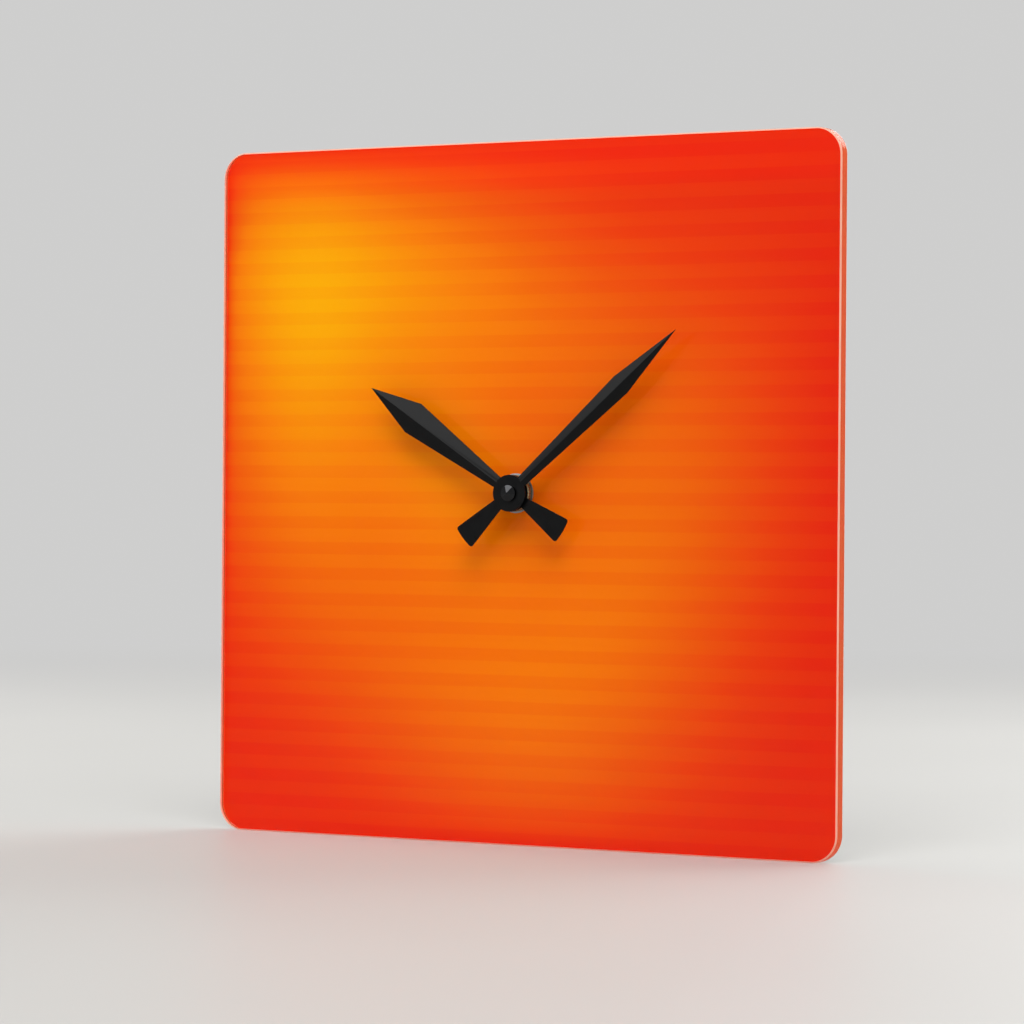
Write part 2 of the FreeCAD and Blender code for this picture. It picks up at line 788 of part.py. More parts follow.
def make_hanger():
    """Steel strap: clamped under the neck, bent back over the case and up to a keyhole."""
    body = new_body("hanger")
    profile = new_sketch(body, "hanger_side", role="YZ_Plane")
    plate = S.hanger_thickness
    shelf = case_top + S.hanger_case_gap
    hole_y = case_top + S.keyhole_from_case
    slot_y = hole_y + S.keyhole_rise
    tab_top = slot_y + S.keyhole_slot_radius + S.hanger_top_margin
    # in this plane the sketch's x is the piece's y and its y is the piece's z
    draw_polygon(profile, [
        (-S.hanger_foot, case_front),
        (shelf, case_front),
        (shelf, 0),
        (tab_top, 0),
        (tab_top, plate),
        (shelf + plate, plate),
        (shelf + plate, hanger_front),
        (-S.hanger_foot, hanger_front),
    ])
    strap = pad(body, profile, S.hanger_width)
    strap.Midplane = True
    bends = ((shelf, case_front), (shelf, 0), (shelf + plate, plate),
             (shelf + plate, hanger_front))

    def is_bend(edge, inside):
        middle = edge.CenterOfMass
        for number, (y, z) in enumerate(bends):
            near = abs(middle.y - float(y)) + abs(middle.z - float(z)) < 1e-3
            if near and (number in (0, 2)) == inside:
                return True
        return False

    inner = dress(body, "Fillet", strap, edges_where(strap, lambda e: is_bend(e, True)),
                  S.hanger_bend)
    outer = dress(body, "Fillet", inner, edges_where(inner, lambda e: is_bend(e, False)),
                  S.hanger_bend + plate)
    neck = new_sketch(body, "hanger_neck_hole", height=case_front)
    draw_circle(neck, neck_hole)
    pocket(body, neck, plate)
    entry = new_sketch(body, "hanger_keyhole")
    draw_circle(entry, S.keyhole_radius, y=hole_y)
    pocket(body, entry, plate)
    slot = new_sketch(body, "hanger_slot")
    draw_rectangle(slot, -S.keyhole_slot_radius, hole_y, S.keyhole_slot_radius, slot_y)
    pocket(body, slot, plate)
    slot_end = new_sketch(body, "hanger_slot_end")
    draw_circle(slot_end, S.keyhole_slot_radius, y=slot_y)
    pocket(body, slot_end, plate)
    keep(body, "hanger_plate")


# ------------------------------------------------------------------------- the hands


def add_blade(body, name, blade):
    """Blade of a hand: sheet folded along its middle, its edges behind its crease."""
    sheet_thickness = S.hand_thickness
    start = S.hand_disc_radius - sheet_thickness
    waste = blade.half_width + sheet_thickness
    drop = waste * S.hand_crease_slope.tan()
    crease = sheet_thickness + S.hand_crease_rise
    fold = new_sketch(body, f"{name}_fold", height=-start, role="XZ_Plane")
    draw_polygon(fold, [
        (0, crease),
        (waste, crease - drop),
        (waste, crease - drop - sheet_thickness),
        (0, crease - sheet_thickness),
        (-waste, crease - drop - sheet_thickness),
        (-waste, crease - drop),
    ])
    pad(body, fold, blade.tip - start, down=True)
    below = crease - drop - 2 * sheet_thickness
    beyond = blade.tip + sheet_thickness
    outside = waste + sheet_thickness
    for side, word in ((1, "right"), (-1, "left")):
        cut = new_sketch(body, f"{name}_{word}_waste", height=below)
        draw_polygon(cut, [
            (side * blade.half_base, start - sheet_thickness),
            (side * blade.half_base, start),
            (side * blade.half_width, blade.wide_at),
            (0, blade.tip),
            (0, beyond),
            (side * outside, beyond),
            (side * outside, start - sheet_thickness),
        ])
        pocket(body, cut, crease - below + sheet_thickness)


def make_hand(name, label, blade, tail, draw_bore, height, angle):
    """A pressed hand drawn pointing to twelve: creased blade, hub disc and flat tail."""
    body = new_body(name)
    sheet_thickness = S.hand_thickness
    add_blade(body, name, blade)
    disc = new_sketch(body, f"{name}_disc")
    draw_circle(disc, S.hand_disc_radius)
    pad(body, disc, sheet_thickness)
    fan = new_sketch(body, f"{name}_tail")
    draw_fan(fan, tail.half_base, tail.half_end, S.hand_disc_radius, S.hand_tail_radius)
    plain = pad(body, fan, sheet_thickness)
    past = float(S.hand_disc_radius) + float(S.hand_tail_corner)

    def is_fan_corner(edge):
        return is_upright(edge) and edge.CenterOfMass.y < -past

    dress(body, "Fillet", plain, edges_where(plain, is_fan_corner), S.hand_tail_corner)
    bore = new_sketch(body, f"{name}_bore")
    draw_bore(bore)
    pocket(body, bore, sheet_thickness)
    keep(body, label, height=height, clock_angle=angle)


def make_hands():
    """Hour hand, pressed on its tube, and minute hand, keyed to its arbor's flats."""
    make_hand(
        "hour", "hour_hand",
        SimpleNamespace(tip=S.hour_hand_tip, wide_at=S.hour_hand_wide_at,
                        half_width=S.hour_hand_half_width, half_base=S.hour_hand_half_base),
        SimpleNamespace(half_end=S.hour_tail_half_end, half_base=S.hour_tail_half_base),
        lambda bore: draw_circle(bore, S.hour_tube_radius + S.fit),
        hour_hand_back, S.hour_hand_angle,
    )
    make_hand(
        "minute", "minute_hand",
        SimpleNamespace(tip=S.minute_hand_tip, wide_at=S.minute_hand_wide_at,
                        half_width=S.minute_hand_half_width,
                        half_base=S.minute_hand_half_base),
        SimpleNamespace(half_end=S.minute_tail_half_end, half_base=S.minute_tail_half_base),
        lambda bore: draw_flatted_circle(bore, S.minute_arbor_radius + S.fit,
                                         S.minute_arbor_flat + S.fit),
        minute_hand_back, S.minute_hand_angle,
    )


def make_cap_nut():
    """Closed cap nut with a shallow cone on its front."""
    bore = S.minute_arbor_radius + S.fit
    rim_top = S.minute_arbor_proud + S.cap_end_gap
    top = rim_top + S.cap_cone_height
    turned("cap", "hand_cap_nut", [
        (bore, 0),
        (S.cap_radius, 0),
        (S.cap_radius, rim_top),
        (S.cap_flat_radius, top),
        (0, top),
        (0, rim_top),
        (bore, rim_top),
    ], height=minute_hand_front)


# ------------------------------------------------------- arbors and wheels, front set


def make_minute_arbor():
    """Hollow arbor that carries the minute hand, with its pinion and clutch collar."""
    low = clutch_collar_back
    top = float(minute_arbor_front - low)
    pinion_low = motion_wheel_back - mesh_overhang - low
    pinion_high = motion_wheel_front + mesh_overhang - low
    stem = tube(S.minute_arbor_radius, 0, 0, top)
    flat_low = float(minute_hand_back - low)
    half = float(S.minute_arbor_flat)
    radius = float(S.minute_arbor_radius)
    for side in (half, -half - radius):
        corner = FreeCAD.Vector(side, -radius, flat_low)
        stem = stem.cut(Part.makeBox(radius, 2 * radius, top - flat_low, corner))
    # the flats of the arbor stand square to the hand that is pressed on them
    stem.rotate(FreeCAD.Vector(0, 0, 0), FORWARD, -float(S.minute_hand_angle))
    pinion = toothed_ring(S.motion_module, S.minute_pinion_teeth, pinion_low, pinion_high,
                          to_motion)
    collar = tube(S.clutch_collar_radius, 0, 0, S.clutch_collar_thickness)
    solid = stem.fuse(pinion).fuse(collar).removeSplitter()
    solid = solid.cut(tube(minute_arbor_bore, 0, 0, top))
    shape_piece("minute_arbor_shape", "minute_arbor", solid, height=low)


def make_hour_wheel():
    """Hour wheel with the tube that carries the hour hand."""
    length = hour_hand_front + S.hour_tube_proud - hour_wheel_back
    tooth = partner_angle(to_motion + math.pi, to_motion + math.pi,
                          S.motion_pinion_teeth, S.hour_wheel_teeth)
    wheel = toothed_ring(hour_module, S.hour_wheel_teeth, 0, S.wheel_thickness, tooth)
    solid = wheel.fuse(tube(S.hour_tube_radius, 0, 0, length)).removeSplitter()
    solid = solid.cut(tube(hour_tube_bore, 0, 0, length))
    shape_piece("hour_wheel_shape", "hour_wheel", solid, height=hour_wheel_back)


motion_tooth_angle = partner_angle(to_motion, to_motion,
                                   S.minute_pinion_teeth, S.motion_wheel_teeth)


def make_motion_wheel():
    """Wheel and pinion that gear the hour hand down from the minute hand."""
    low = plate_front - S.pivot_depth
    wheel = toothed_ring(S.motion_module, S.motion_wheel_teeth, motion_wheel_back - low,
                         motion_wheel_front - low, motion_tooth_angle)
    pinion = toothed_ring(hour_module, S.motion_pinion_teeth, motion_wheel_front - low,
                          hour_wheel_front + mesh_overhang - low, to_motion + math.pi)
    arbor = tube(S.motion_arbor_radius, 0, 0, front_wall_back + S.pivot_depth - low)
    solid = wheel.fuse(pinion).fuse(arbor).removeSplitter()
    shape_piece("motion_wheel_shape", "motion_wheel", solid, x=motion_at[0],
                y=motion_at[1], height=low)


def make_setting_pinion():
    """Setting shaft: its pinion turns the motion wheel, its rear end holds the knob."""
    low = S.knob_recess + S.knob_bar_height
    tooth = partner_angle(to_setting, motion_tooth_angle,
                          S.motion_wheel_teeth, S.setting_pinion_teeth)
    pinion = toothed_ring(S.motion_module, S.setting_pinion_teeth,
                          motion_wheel_back - mesh_overhang - low,
                          motion_wheel_front + mesh_overhang - low, tooth)
    shaft = tube(S.setting_shaft_radius, 0, 0, motion_wheel_front - low)
    pivot = tube(S.motion_arbor_radius, 0, 0, front_wall_back + S.pivot_depth - low)
    solid = shaft.fuse(pinion).fuse(pivot).removeSplitter()
    shape_piece("setting_pinion_shape", "setting_pinion", solid, x=setting_at[0],
                y=setting_at[1], height=low)


def make_setting_knob():
    """Knob on the setting shaft: a disc with a grip bar across it, facing the wall."""
    body = new_body("knob")
    disc_back = S.knob_bar_height
    disc = new_sketch(body, "knob_disc", height=disc_back)
    draw_circle(disc, S.knob_radius)
    pad(body, disc, S.knob_disc_thickness)
    bar = new_sketch(body, "knob_bar")
    half = S.knob_bar_width / 2
    reach = S.knob_radius - half
    draw_rectangle(bar, -half, -reach, half, reach)
    pad(body, bar, disc_back)
    hole = new_sketch(body, "knob_hole", height=disc_back)
    draw_circle(hole, S.setting_shaft_radius)
    pocket(body, hole, S.knob_disc_thickness)
    keep(body, "setting_knob", x=setting_at[0], y=setting_at[1], height=S.knob_recess)


# ----------------------------------------------------------------- the going train


def train_arbor(name, label, at, boss_top, wheel, pinion, tooth_angles):
    """A wheel and its pinion on an arbor between a rear boss and the middle plate.

    wheel and pinion are (module, teeth, back height, front height).
    """
    low = boss_top - S.pivot_depth
    rings = []
    for (module, teeth, back, front), tooth in zip((wheel, pinion), tooth_angles):
        rings.append(toothed_ring(module, teeth, back - low, front - low, tooth))
    arbor = tube(S.arbor_radius, 0, 0, plate_back + S.pivot_depth - low)
    solid = rings[0].fuse(rings[1]).fuse(arbor).removeSplitter()
    shape_piece(name, label, solid, x=at[0], y=at[1], height=low)


def make_centre_wheel():
    """Centre wheel, held on the minute arbor by the clutch spring."""
    tooth = partner_angle(to_third + math.pi, to_third + math.pi,
                          S.third_pinion_teeth, S.centre_wheel_teeth)
    wheel = toothed_ring(S.centre_wheel_module, S.centre_wheel_teeth, 0,
                         S.wheel_thickness, tooth)
    solid = wheel.cut(tube(S.minute_arbor_radius + S.fit, 0, 0, S.wheel_thickness))
    shape_piece("centre_wheel_shape", "centre_wheel", solid, height=centre_wheel_back)
    washer_body("clutch_spring", "friction_spring", S.clutch_collar_radius,
                S.minute_arbor_radius + S.fit, S.clutch_spring_thickness,
                clutch_spring_back)


def make_third_wheel():
    """Third wheel: its pinion drives the centre wheel."""
    tooth = partner_angle(to_third, to_third, S.seconds_pinion_teeth, S.third_wheel_teeth)
    train_arbor(
        "third_wheel_shape", "third_wheel", third_at, third_boss_top,
        (third_module, S.third_wheel_teeth, third_wheel_back, third_wheel_front),
        (S.centre_wheel_module, S.third_pinion_teeth, third_wheel_front,
         centre_wheel_front + mesh_overhang),
        (tooth, to_third + math.pi),
    )


def make_seconds_wheel():
    """Seconds wheel on the arbor that runs through the minute arbor."""
    low = low_boss_top - S.pivot_depth
    wheel_tooth = partner_angle(to_intermediate + math.pi, to_intermediate + math.pi,
                                S.intermediate_pinion_teeth, S.seconds_wheel_teeth)
    wheel = toothed_ring(seconds_module, S.seconds_wheel_teeth,
                         seconds_wheel_back - low, seconds_wheel_front - low, wheel_tooth)
    pinion = toothed_ring(third_module, S.seconds_pinion_teeth, seconds_wheel_front - low,
                          third_wheel_front + mesh_overhang - low, to_third)
    arbor = tube(S.seconds_arbor_radius, 0, 0, minute_arbor_front - S.fit - low)
    solid = wheel.fuse(pinion).fuse(arbor).removeSplitter()
    shape_piece("seconds_wheel_shape", "seconds_wheel", solid, height=low)


def make_intermediate_wheel():
    """Intermediate wheel between the rotor and the seconds wheel."""
    tooth = partner_angle(to_rotor + math.pi, to_rotor + math.pi,
                          S.rotor_pinion_teeth, S.intermediate_wheel_teeth)
    train_arbor(
        "intermediate_wheel_shape", "intermediate_wheel", intermediate_at, low_boss_top,
        (rotor_module, S.intermediate_wheel_teeth, intermediate_wheel_back,
         intermediate_wheel_front),
        (seconds_module, S.intermediate_pinion_teeth, intermediate_wheel_front,
         seconds_wheel_front + mesh_overhang),
        (tooth, to_intermediate + math.pi),
    )


def make_rotor():
    """Stepping motor's rotor: a pinion on its arbor, and the ring magnet around it."""
    low = low_boss_top - S.pivot_depth
    pinion = toothed_ring(rotor_module, S.rotor_pinion_teeth,
                          intermediate_wheel_back - mesh_overhang - low,
                          intermediate_wheel_front + mesh_overhang - low,
                          to_rotor + math.pi)
    arbor = tube(S.arbor_radius, 0, 0, plate_back + S.pivot_depth - low)
    solid = pinion.fuse(arbor).removeSplitter()
    shape_piece("rotor_pinion_shape", "rotor_pinion", solid, x=rotor_at[0],
                y=rotor_at[1], height=low)
    magnet = new_body("magnet")
    ring = new_sketch(magnet, "magnet_ring")
    draw_circle(ring, S.magnet_radius)
    draw_circle(ring, S.arbor_radius)
    pad(magnet, ring, S.magnet_thickness)
    keep(magnet, "rotor_magnet", x=rotor_at[0], y=rotor_at[1], height=magnet_back)


# ------------------------------------------------------------------ motor, stator side

leg_top = coil_height + S.coil_core_half_width
left_peg = (S.stator_leg_width / 2 - S.stator_left, stator_middle)
right_peg = (S.stator_right - S.stator_leg_width / 2, stator_middle)


def make_stator():
    """Stator lamination: a ring around the rotor, a bar and two legs to the coil core."""
    body = new_body("stator")
    bar = new_sketch(body, "stator_bar")
    draw_rectangle(bar, -S.stator_left, stator_low, S.stator_right, stator_high)
    pad(body, bar, S.stator_thickness)
    ring = new_sketch(body, "stator_ring")
    draw_circle(ring, stator_ring_radius, x=rotor_at[0], y=rotor_at[1])
    pad(body, ring, S.stator_thickness)
    sides = (
        ("left", -S.stator_left, S.stator_leg_width - S.stator_left),
        ("right", S.stator_right - S.stator_leg_width, S.stator_right),
    )
    for word, low_x, high_x in sides:
        leg = new_sketch(body, f"stator_{word}_leg")
        draw_rectangle(leg, low_x, stator_low, high_x, leg_top)
        pad(body, leg, S.stator_thickness)
    bore = new_sketch(body, "stator_bore")
    draw_circle(bore, stator_bore, x=rotor_at[0], y=rotor_at[1])
    pocket(body, bore, S.stator_thickness)
    for word, (x, y) in (("left", left_peg), ("right", right_peg)):
        hole = new_sketch(body, f"stator_{word}_peg_hole")
        draw_circle(hole, S.stator_peg_radius + S.fit, x=x, y=y)
        pocket(body, hole, S.stator_thickness)
    keep(body, "stator_plate", height=stator_back)


core_back = stator_back - S.coil_core_thickness
core_middle = core_back + S.coil_core_thickness / 2
bobbin_left = S.stator_leg_width - S.stator_left + S.bobbin_end_gap
bobbin_right = S.stator_right - S.stator_leg_width - S.bobbin_end_gap


def make_coil():
    """Coil of the stepping motor: iron core, plastic bobbin and copper winding."""
    core = new_body("core")
    bar = new_sketch(core, "core_bar")
    half = S.coil_core_half_width
    draw_rectangle(bar, -S.stator_left, -half, S.stator_right, half)
    pad(core, bar, S.coil_core_thickness)
    keep(core, "coil_core", y=coil_height, height=core_back)

    length = float(bobbin_right - bobbin_left)
    flange = float(S.bobbin_flange_thickness)
    barrel = S.coil_core_half_width + S.bobbin_wall
    slot_width = 2 * float(S.coil_core_half_width)
    slot_depth = float(S.coil_core_thickness)
    slot_corner = FreeCAD.Vector(0, -slot_width / 2, -slot_depth / 2)
    slot = Part.makeBox(length, slot_width, slot_depth, slot_corner)
    bobbin = tube(barrel, 0, 0, length, RIGHTWARD)
    for low in (0, length - flange):
        bobbin = bobbin.fuse(tube(S.bobbin_flange_radius, 0, low, low + flange, RIGHTWARD))
    bobbin = bobbin.removeSplitter().cut(slot)
    shape_piece("bobbin_shape", "coil_bobbin", bobbin, x=bobbin_left, y=coil_height,
                height=core_middle)
    winding = tube(S.coil_radius, barrel, flange, length - flange, RIGHTWARD)
    shape_piece("winding_shape", "coil_winding", winding, x=bobbin_left,
                y=coil_height, height=core_middle)


# --------------------------------------------------------------------- electronics

board_left = -(plate_half - S.board_edge_gap)
board_right = -(S.stator_left + S.board_motor_gap)
board_top = inner_top - S.cover_ledge - S.board_ledge_gap
board_back = plate_back - S.board_thickness
board_x = (board_left + board_right) / 2
chip_y = S.board_bottom + (board_top - S.board_bottom) / 3


def make_electronics():
    """Circuit board under the middle plate, with its chip and quartz crystal."""
    board = new_body("board")
    outline = new_sketch(board, "board_outline")
    draw_rectangle(outline, board_left, S.board_bottom, board_right, board_top)
    pad(board, outline, S.board_thickness)
    keep(board, "circuit_board", height=board_back)

    # the chip's resin drop is a slice of a ball, bulging towards the wall
    radius = float(S.chip_radius)
    rise = float(S.chip_height)
    ball = (radius ** 2 + rise ** 2) / (2 * rise)
    drop = Part.makeSphere(ball, FreeCAD.Vector(0, 0, ball))
    drop = drop.common(tube(radius, 0, 0, rise))
    shape_piece("chip_shape", "timing_chip", drop, x=board_x,
                y=chip_y, height=board_back - S.chip_height)

    solid = tube(S.crystal_radius, 0, 0, S.crystal_length, RIGHTWARD)
    apart = float(S.crystal_radius) / 2
    for side in (-apart, apart):
        foot = FreeCAD.Vector(float(S.crystal_length), side, 0)
        lead = Part.makeCylinder(float(S.crystal_lead_radius),
                                 float(S.crystal_lead_length), foot, RIGHTWARD)
        solid = solid.fuse(lead)
    shape_piece("crystal_shape", "quartz_crystal", solid,
                x=board_left + S.board_edge_gap + S.crystal_radius,
                y=board_top - 2 * S.crystal_radius, height=board_back - S.crystal_radius)


# ------------------------------------------------------------------------ the case


def make_front_case():
    """Moulded front case: a square tray with the battery bay below the movement."""
    body = new_body("case")
    outline = new_sketch(body, "case_outline")
    draw_rectangle(outline, -case_half, case_bottom, case_half, case_top)
    block = pad(body, outline, case_front)
    rounded = dress(body, "Fillet", block, edges_where(block, is_upright), S.case_corner)
    rim = edges_where(rounded, lambda edge: at_height(edge, case_front))
    dress(body, "Chamfer", rounded, rim, S.case_front_chamfer)
    chambers = (
        ("works", partition_top, inner_top),
        ("bay", bay_bottom, bay_top),
    )
    for word, low, high in chambers:
        chamber = new_sketch(body, f"case_{word}")
        draw_rectangle(chamber, -inner_half, low, inner_half, high)
        pocket(body, chamber, front_wall_back)
    # corner ledges that the rear cover sits on
    for word, side in (("left", -1), ("right", 1)):
        ledge = new_sketch(body, f"case_{word}_ledge", height=S.cover_thickness)
        draw_rectangle(ledge, side * (inner_half - S.cover_ledge), inner_top - S.cover_ledge,
                       side * (inner_half + S.case_wall / 2), inner_top + S.case_wall / 2)
        pad(body, ledge, front_wall_back - S.cover_thickness)
    # posts and pegs that carry the middle plate
    posts = (
        ("low_left", -post_x, post_bottom),
        ("low_right", post_x, post_bottom),
        ("high_left", -post_x, post_top),
        ("high_right", post_x, post_top),
    )
    for word, x, y in posts:
        post = new_sketch(body, f"case_{word}_post", height=plate_front)
        draw_circle(post, S.plate_post_radius, x=x, y=y)
        pad(body, post, front_wall_back - plate_front)
        peg = new_sketch(body, f"case_{word}_peg", height=plate_back)
        draw_circle(peg, S.plate_peg_radius, x=x, y=y)
        pad(body, peg, S.plate_thickness)
    # neck hole with the seat of its flange, and the blind holes of two pivots
    neck = new_sketch(body, "case_neck_hole", height=front_wall_back)
    draw_circle(neck, neck_hole)
    pocket(body, neck, S.case_front_wall)
    seat = new_sketch(body, "case_neck_seat", height=front_wall_back)
    draw_circle(seat, S.neck_flange_radius + S.fit)
    pocket(body, seat, S.neck_flange_thickness)
    for word, (x, y) in (("motion", motion_at), ("setting", setting_at)):
        pivot = new_sketch(body, f"case_{word}_pivot", height=front_wall_back)
        draw_circle(pivot, S.motion_arbor_radius + S.fit, x=x, y=y)
        pocket(body, pivot, S.pivot_depth + S.fit)
    # slots in the partition that the contact strips pass through
    strip = S.contact_thickness + S.contact_slot_clearance
    for word, side in (("left", -1), ("right", 1)):
        slot = new_sketch(body, f"case_{word}_slot")
        draw_rectangle(slot, side * (inner_half - strip), bay_top - S.fit,
                       side * inner_half, partition_top + S.fit)
        pocket(body, slot, S.contact_strip_height + S.contact_strip_width
               + S.contact_slot_clearance)
    # windows for the lugs of the rear cover
    half = S.cover_lug_length / 2 + S.cover_clearance
    low = S.cover_thickness - S.cover_lug_height - S.cover_clearance
    high = S.cover_thickness + S.cover_clearance
    windows = (
        ("top", -half, inner_top - S.fit, half, case_top + S.fit),
        ("left", -case_half - S.fit, -half, -inner_half + S.fit, half),
        ("right", inner_half - S.fit, -half, case_half + S.fit, half),
    )
    for word, left, bottom, right, top in windows:
        window = new_sketch(body, f"case_{word}_window", height=low)
        draw_rectangle(window, left, bottom, right, top)
        pocket(body, window, high - low)
    keep(body, "front_case")


def make_rear_cover():
    """Rear cover: a plate with pivot bosses, lugs and the well of the setting knob."""
    body = new_body("cover")
    plate = new_sketch(body, "cover_plate")
    draw_rectangle(plate, -cover_half, cover_bottom, cover_half, cover_top)
    pad(body, plate, S.cover_thickness)
    knob_front = S.knob_recess + S.knob_bar_height + S.knob_disc_thickness
    well_depth = knob_front + S.knob_end_gap
    well_radius = S.knob_radius + S.well_clearance
    cup = new_sketch(body, "cover_well")
    draw_circle(cup, well_radius + S.well_wall, x=setting_at[0], y=setting_at[1])
    pad(body, cup, well_depth + S.well_wall)
    well = new_sketch(body, "cover_well_inside")
    draw_circle(well, well_radius, x=setting_at[0], y=setting_at[1])
    pocket(body, well, well_depth)
    shaft = new_sketch(body, "cover_shaft_hole")
    draw_circle(shaft, S.setting_shaft_radius + S.fit, x=setting_at[0], y=setting_at[1])
    pocket(body, shaft, well_depth + S.well_wall)
    bosses = (
        ("third", third_at, third_boss_top, S.arbor_radius),
        ("seconds", CENTRE, low_boss_top, S.seconds_arbor_radius),
        ("intermediate", intermediate_at, low_boss_top, S.arbor_radius),
        ("rotor", rotor_at, low_boss_top, S.arbor_radius),
    )
    for word, (x, y), top, radius in bosses:
        boss = new_sketch(body, f"cover_{word}_boss")
        draw_circle(boss, S.boss_radius, x=x, y=y)
        pad(body, boss, top)
        bottom = top - S.pivot_depth - S.fit
        pivot = new_sketch(body, f"cover_{word}_pivot", height=bottom)
        draw_circle(pivot, radius + S.fit, x=x, y=y)
        pocket(body, pivot, S.pivot_depth + S.fit)
    half = S.cover_lug_length / 2
    reach = S.cover_lug_reach
    lugs = (
        ("top", -half, cover_top - reach, half, cover_top + reach),
        ("left", -cover_half - reach, -half, -cover_half + reach, half),
        ("right", cover_half - reach, -half, cover_half + reach, half),
    )
    for word, left, bottom, right, top in lugs:
        lug = new_sketch(body, f"cover_{word}_lug",
                         height=S.cover_thickness - S.cover_lug_height)
        draw_rectangle(lug, left, bottom, right, top)
        pad(body, lug, S.cover_lug_height)
    keep(body, "rear_cover")


def make_middle_plate():
    """Plate between the motion work and the train, with pegs for the stator."""
    body = new_body("plate")
    outline = new_sketch(body, "plate_outline")
    draw_rectangle(outline, -plate_half, plate_bottom, plate_half, plate_top)
    pad(body, outline, S.plate_thickness)
    # corners cleared for the cover's ledges
    notch = S.cover_ledge + S.plate_clearance
    for word, side in (("left", -1), ("right", 1)):
        corner = new_sketch(body, f"plate_{word}_corner")
        draw_rectangle(corner, side * (inner_half - notch), inner_top - notch,
                       side * inner_half, inner_top)
        pocket(body, corner, S.plate_thickness)
    peg_hole = S.plate_peg_radius + S.fit
    holes = (
        ("arbor", *CENTRE, S.minute_arbor_radius + S.fit),
        ("shaft", *setting_at, S.setting_shaft_radius + S.fit),
        ("low_left", -post_x, post_bottom, peg_hole),
        ("low_right", post_x, post_bottom, peg_hole),
        ("high_left", -post_x, post_top, peg_hole),
        ("high_right", post_x, post_top, peg_hole),
    )
    for word, x, y, radius in holes:
        hole = new_sketch(body, f"plate_{word}_hole")
        draw_circle(hole, radius, x=x, y=y)
        pocket(body, hole, S.plate_thickness)
    rear_pivots = (("third", third_at), ("intermediate", intermediate_at),
                   ("rotor", rotor_at))
    for word, (x, y) in rear_pivots:
        pivot = new_sketch(body, f"plate_{word}_pivot")
        draw_circle(pivot, S.arbor_radius + S.fit, x=x, y=y)
        pocket(body, pivot, S.pivot_depth + S.fit)
    motion = new_sketch(body, "plate_motion_pivot",
                        height=S.plate_thickness - S.pivot_depth - S.fit)
    draw_circle(motion, S.motion_arbor_radius + S.fit, x=motion_at[0], y=motion_at[1])
    pocket(body, motion, S.pivot_depth + S.fit)
    pillar_length = plate_back - stator_front
    for word, (x, y) in (("left", left_peg), ("right", right_peg)):
        pillar = new_sketch(body, f"plate_{word}_pillar", height=-pillar_length)
        draw_circle(pillar, S.boss_radius, x=x, y=y)
        pad(body, pillar, pillar_length)
        peg = new_sketch(body, f"plate_{word}_pillar_peg",
                         height=-pillar_length - S.stator_thickness)
        draw_circle(peg, S.stator_peg_radius, x=x, y=y)
        pad(body, peg, S.stator_thickness)
    keep(body, "middle_plate", height=plate_back)


# ------------------------------------------------------------- battery and contacts

contact_low = bay_middle - S.contact_height / 2
contact_back = battery_middle - S.contact_depth / 2
strip_back = S.contact_strip_height
strip_front = S.contact_strip_height + S.contact_strip_width


def make_battery():
    """AA cell: a can with a rolled shoulder and the nub of its positive end."""
    length = S.battery_length - S.battery_nub_length
    body = new_body("cell")
    sketch = new_sketch(body, "cell_profile", role="XZ_Plane")
    # drawn along x, then turned about x: (distance along the cell, radius)
    draw_polygon(sketch, [
        (0, 0),
        (0, S.battery_radius - S.battery_shoulder),
        (S.battery_shoulder, S.battery_radius),
        (length - S.battery_shoulder, S.battery_radius),
        (length, S.battery_radius - S.battery_shoulder),
        (length, S.battery_nub_radius),
        (S.battery_length, S.battery_nub_radius),
        (S.battery_length, 0),
    ])
    spun = body.newObject("PartDesign::Revolution", "cell_turned")
    spun.Profile = sketch
    spun.ReferenceAxis = (sketch, ["H_Axis"])
    spun.Angle = 360
    keep(body, "aa_battery", x=battery_foot, y=bay_middle, height=battery_middle)


def make_positive_contact():
    """Plate at the cell's nub, with a strip along the partition to the circuit board."""
    body = new_body("positive")
    plate_x = inner_half - S.contact_thickness
    plate = new_sketch(body, "positive_plate", height=contact_back)
    draw_rectangle(plate, plate_x, contact_low, inner_half, bay_top - S.fit)
    pad(body, plate, S.contact_depth)
    strip_y = partition_top + S.contact_thickness
    riser = new_sketch(body, "positive_riser", height=strip_back)
    draw_rectangle(riser, plate_x, contact_low, inner_half, strip_y)
    pad(body, riser, S.contact_strip_width)
    run = new_sketch(body, "positive_run", height=strip_back)
    draw_rectangle(run, board_x, partition_top, inner_half, strip_y)
    pad(body, run, S.contact_strip_width)
    tab = new_sketch(body, "positive_tab", height=strip_back)
    tab_top = S.board_bottom + S.contact_strip_width
    draw_rectangle(tab, board_x, partition_top, board_x + S.contact_thickness, tab_top)
    pad(body, tab, S.contact_strip_width)
    foot = new_sketch(body, "positive_foot", height=strip_back)
    draw_rectangle(foot, board_x, S.board_bottom, board_x + S.contact_thickness, tab_top)
    pad(body, foot, board_back - strip_back)
    keep(body, "positive_contact")


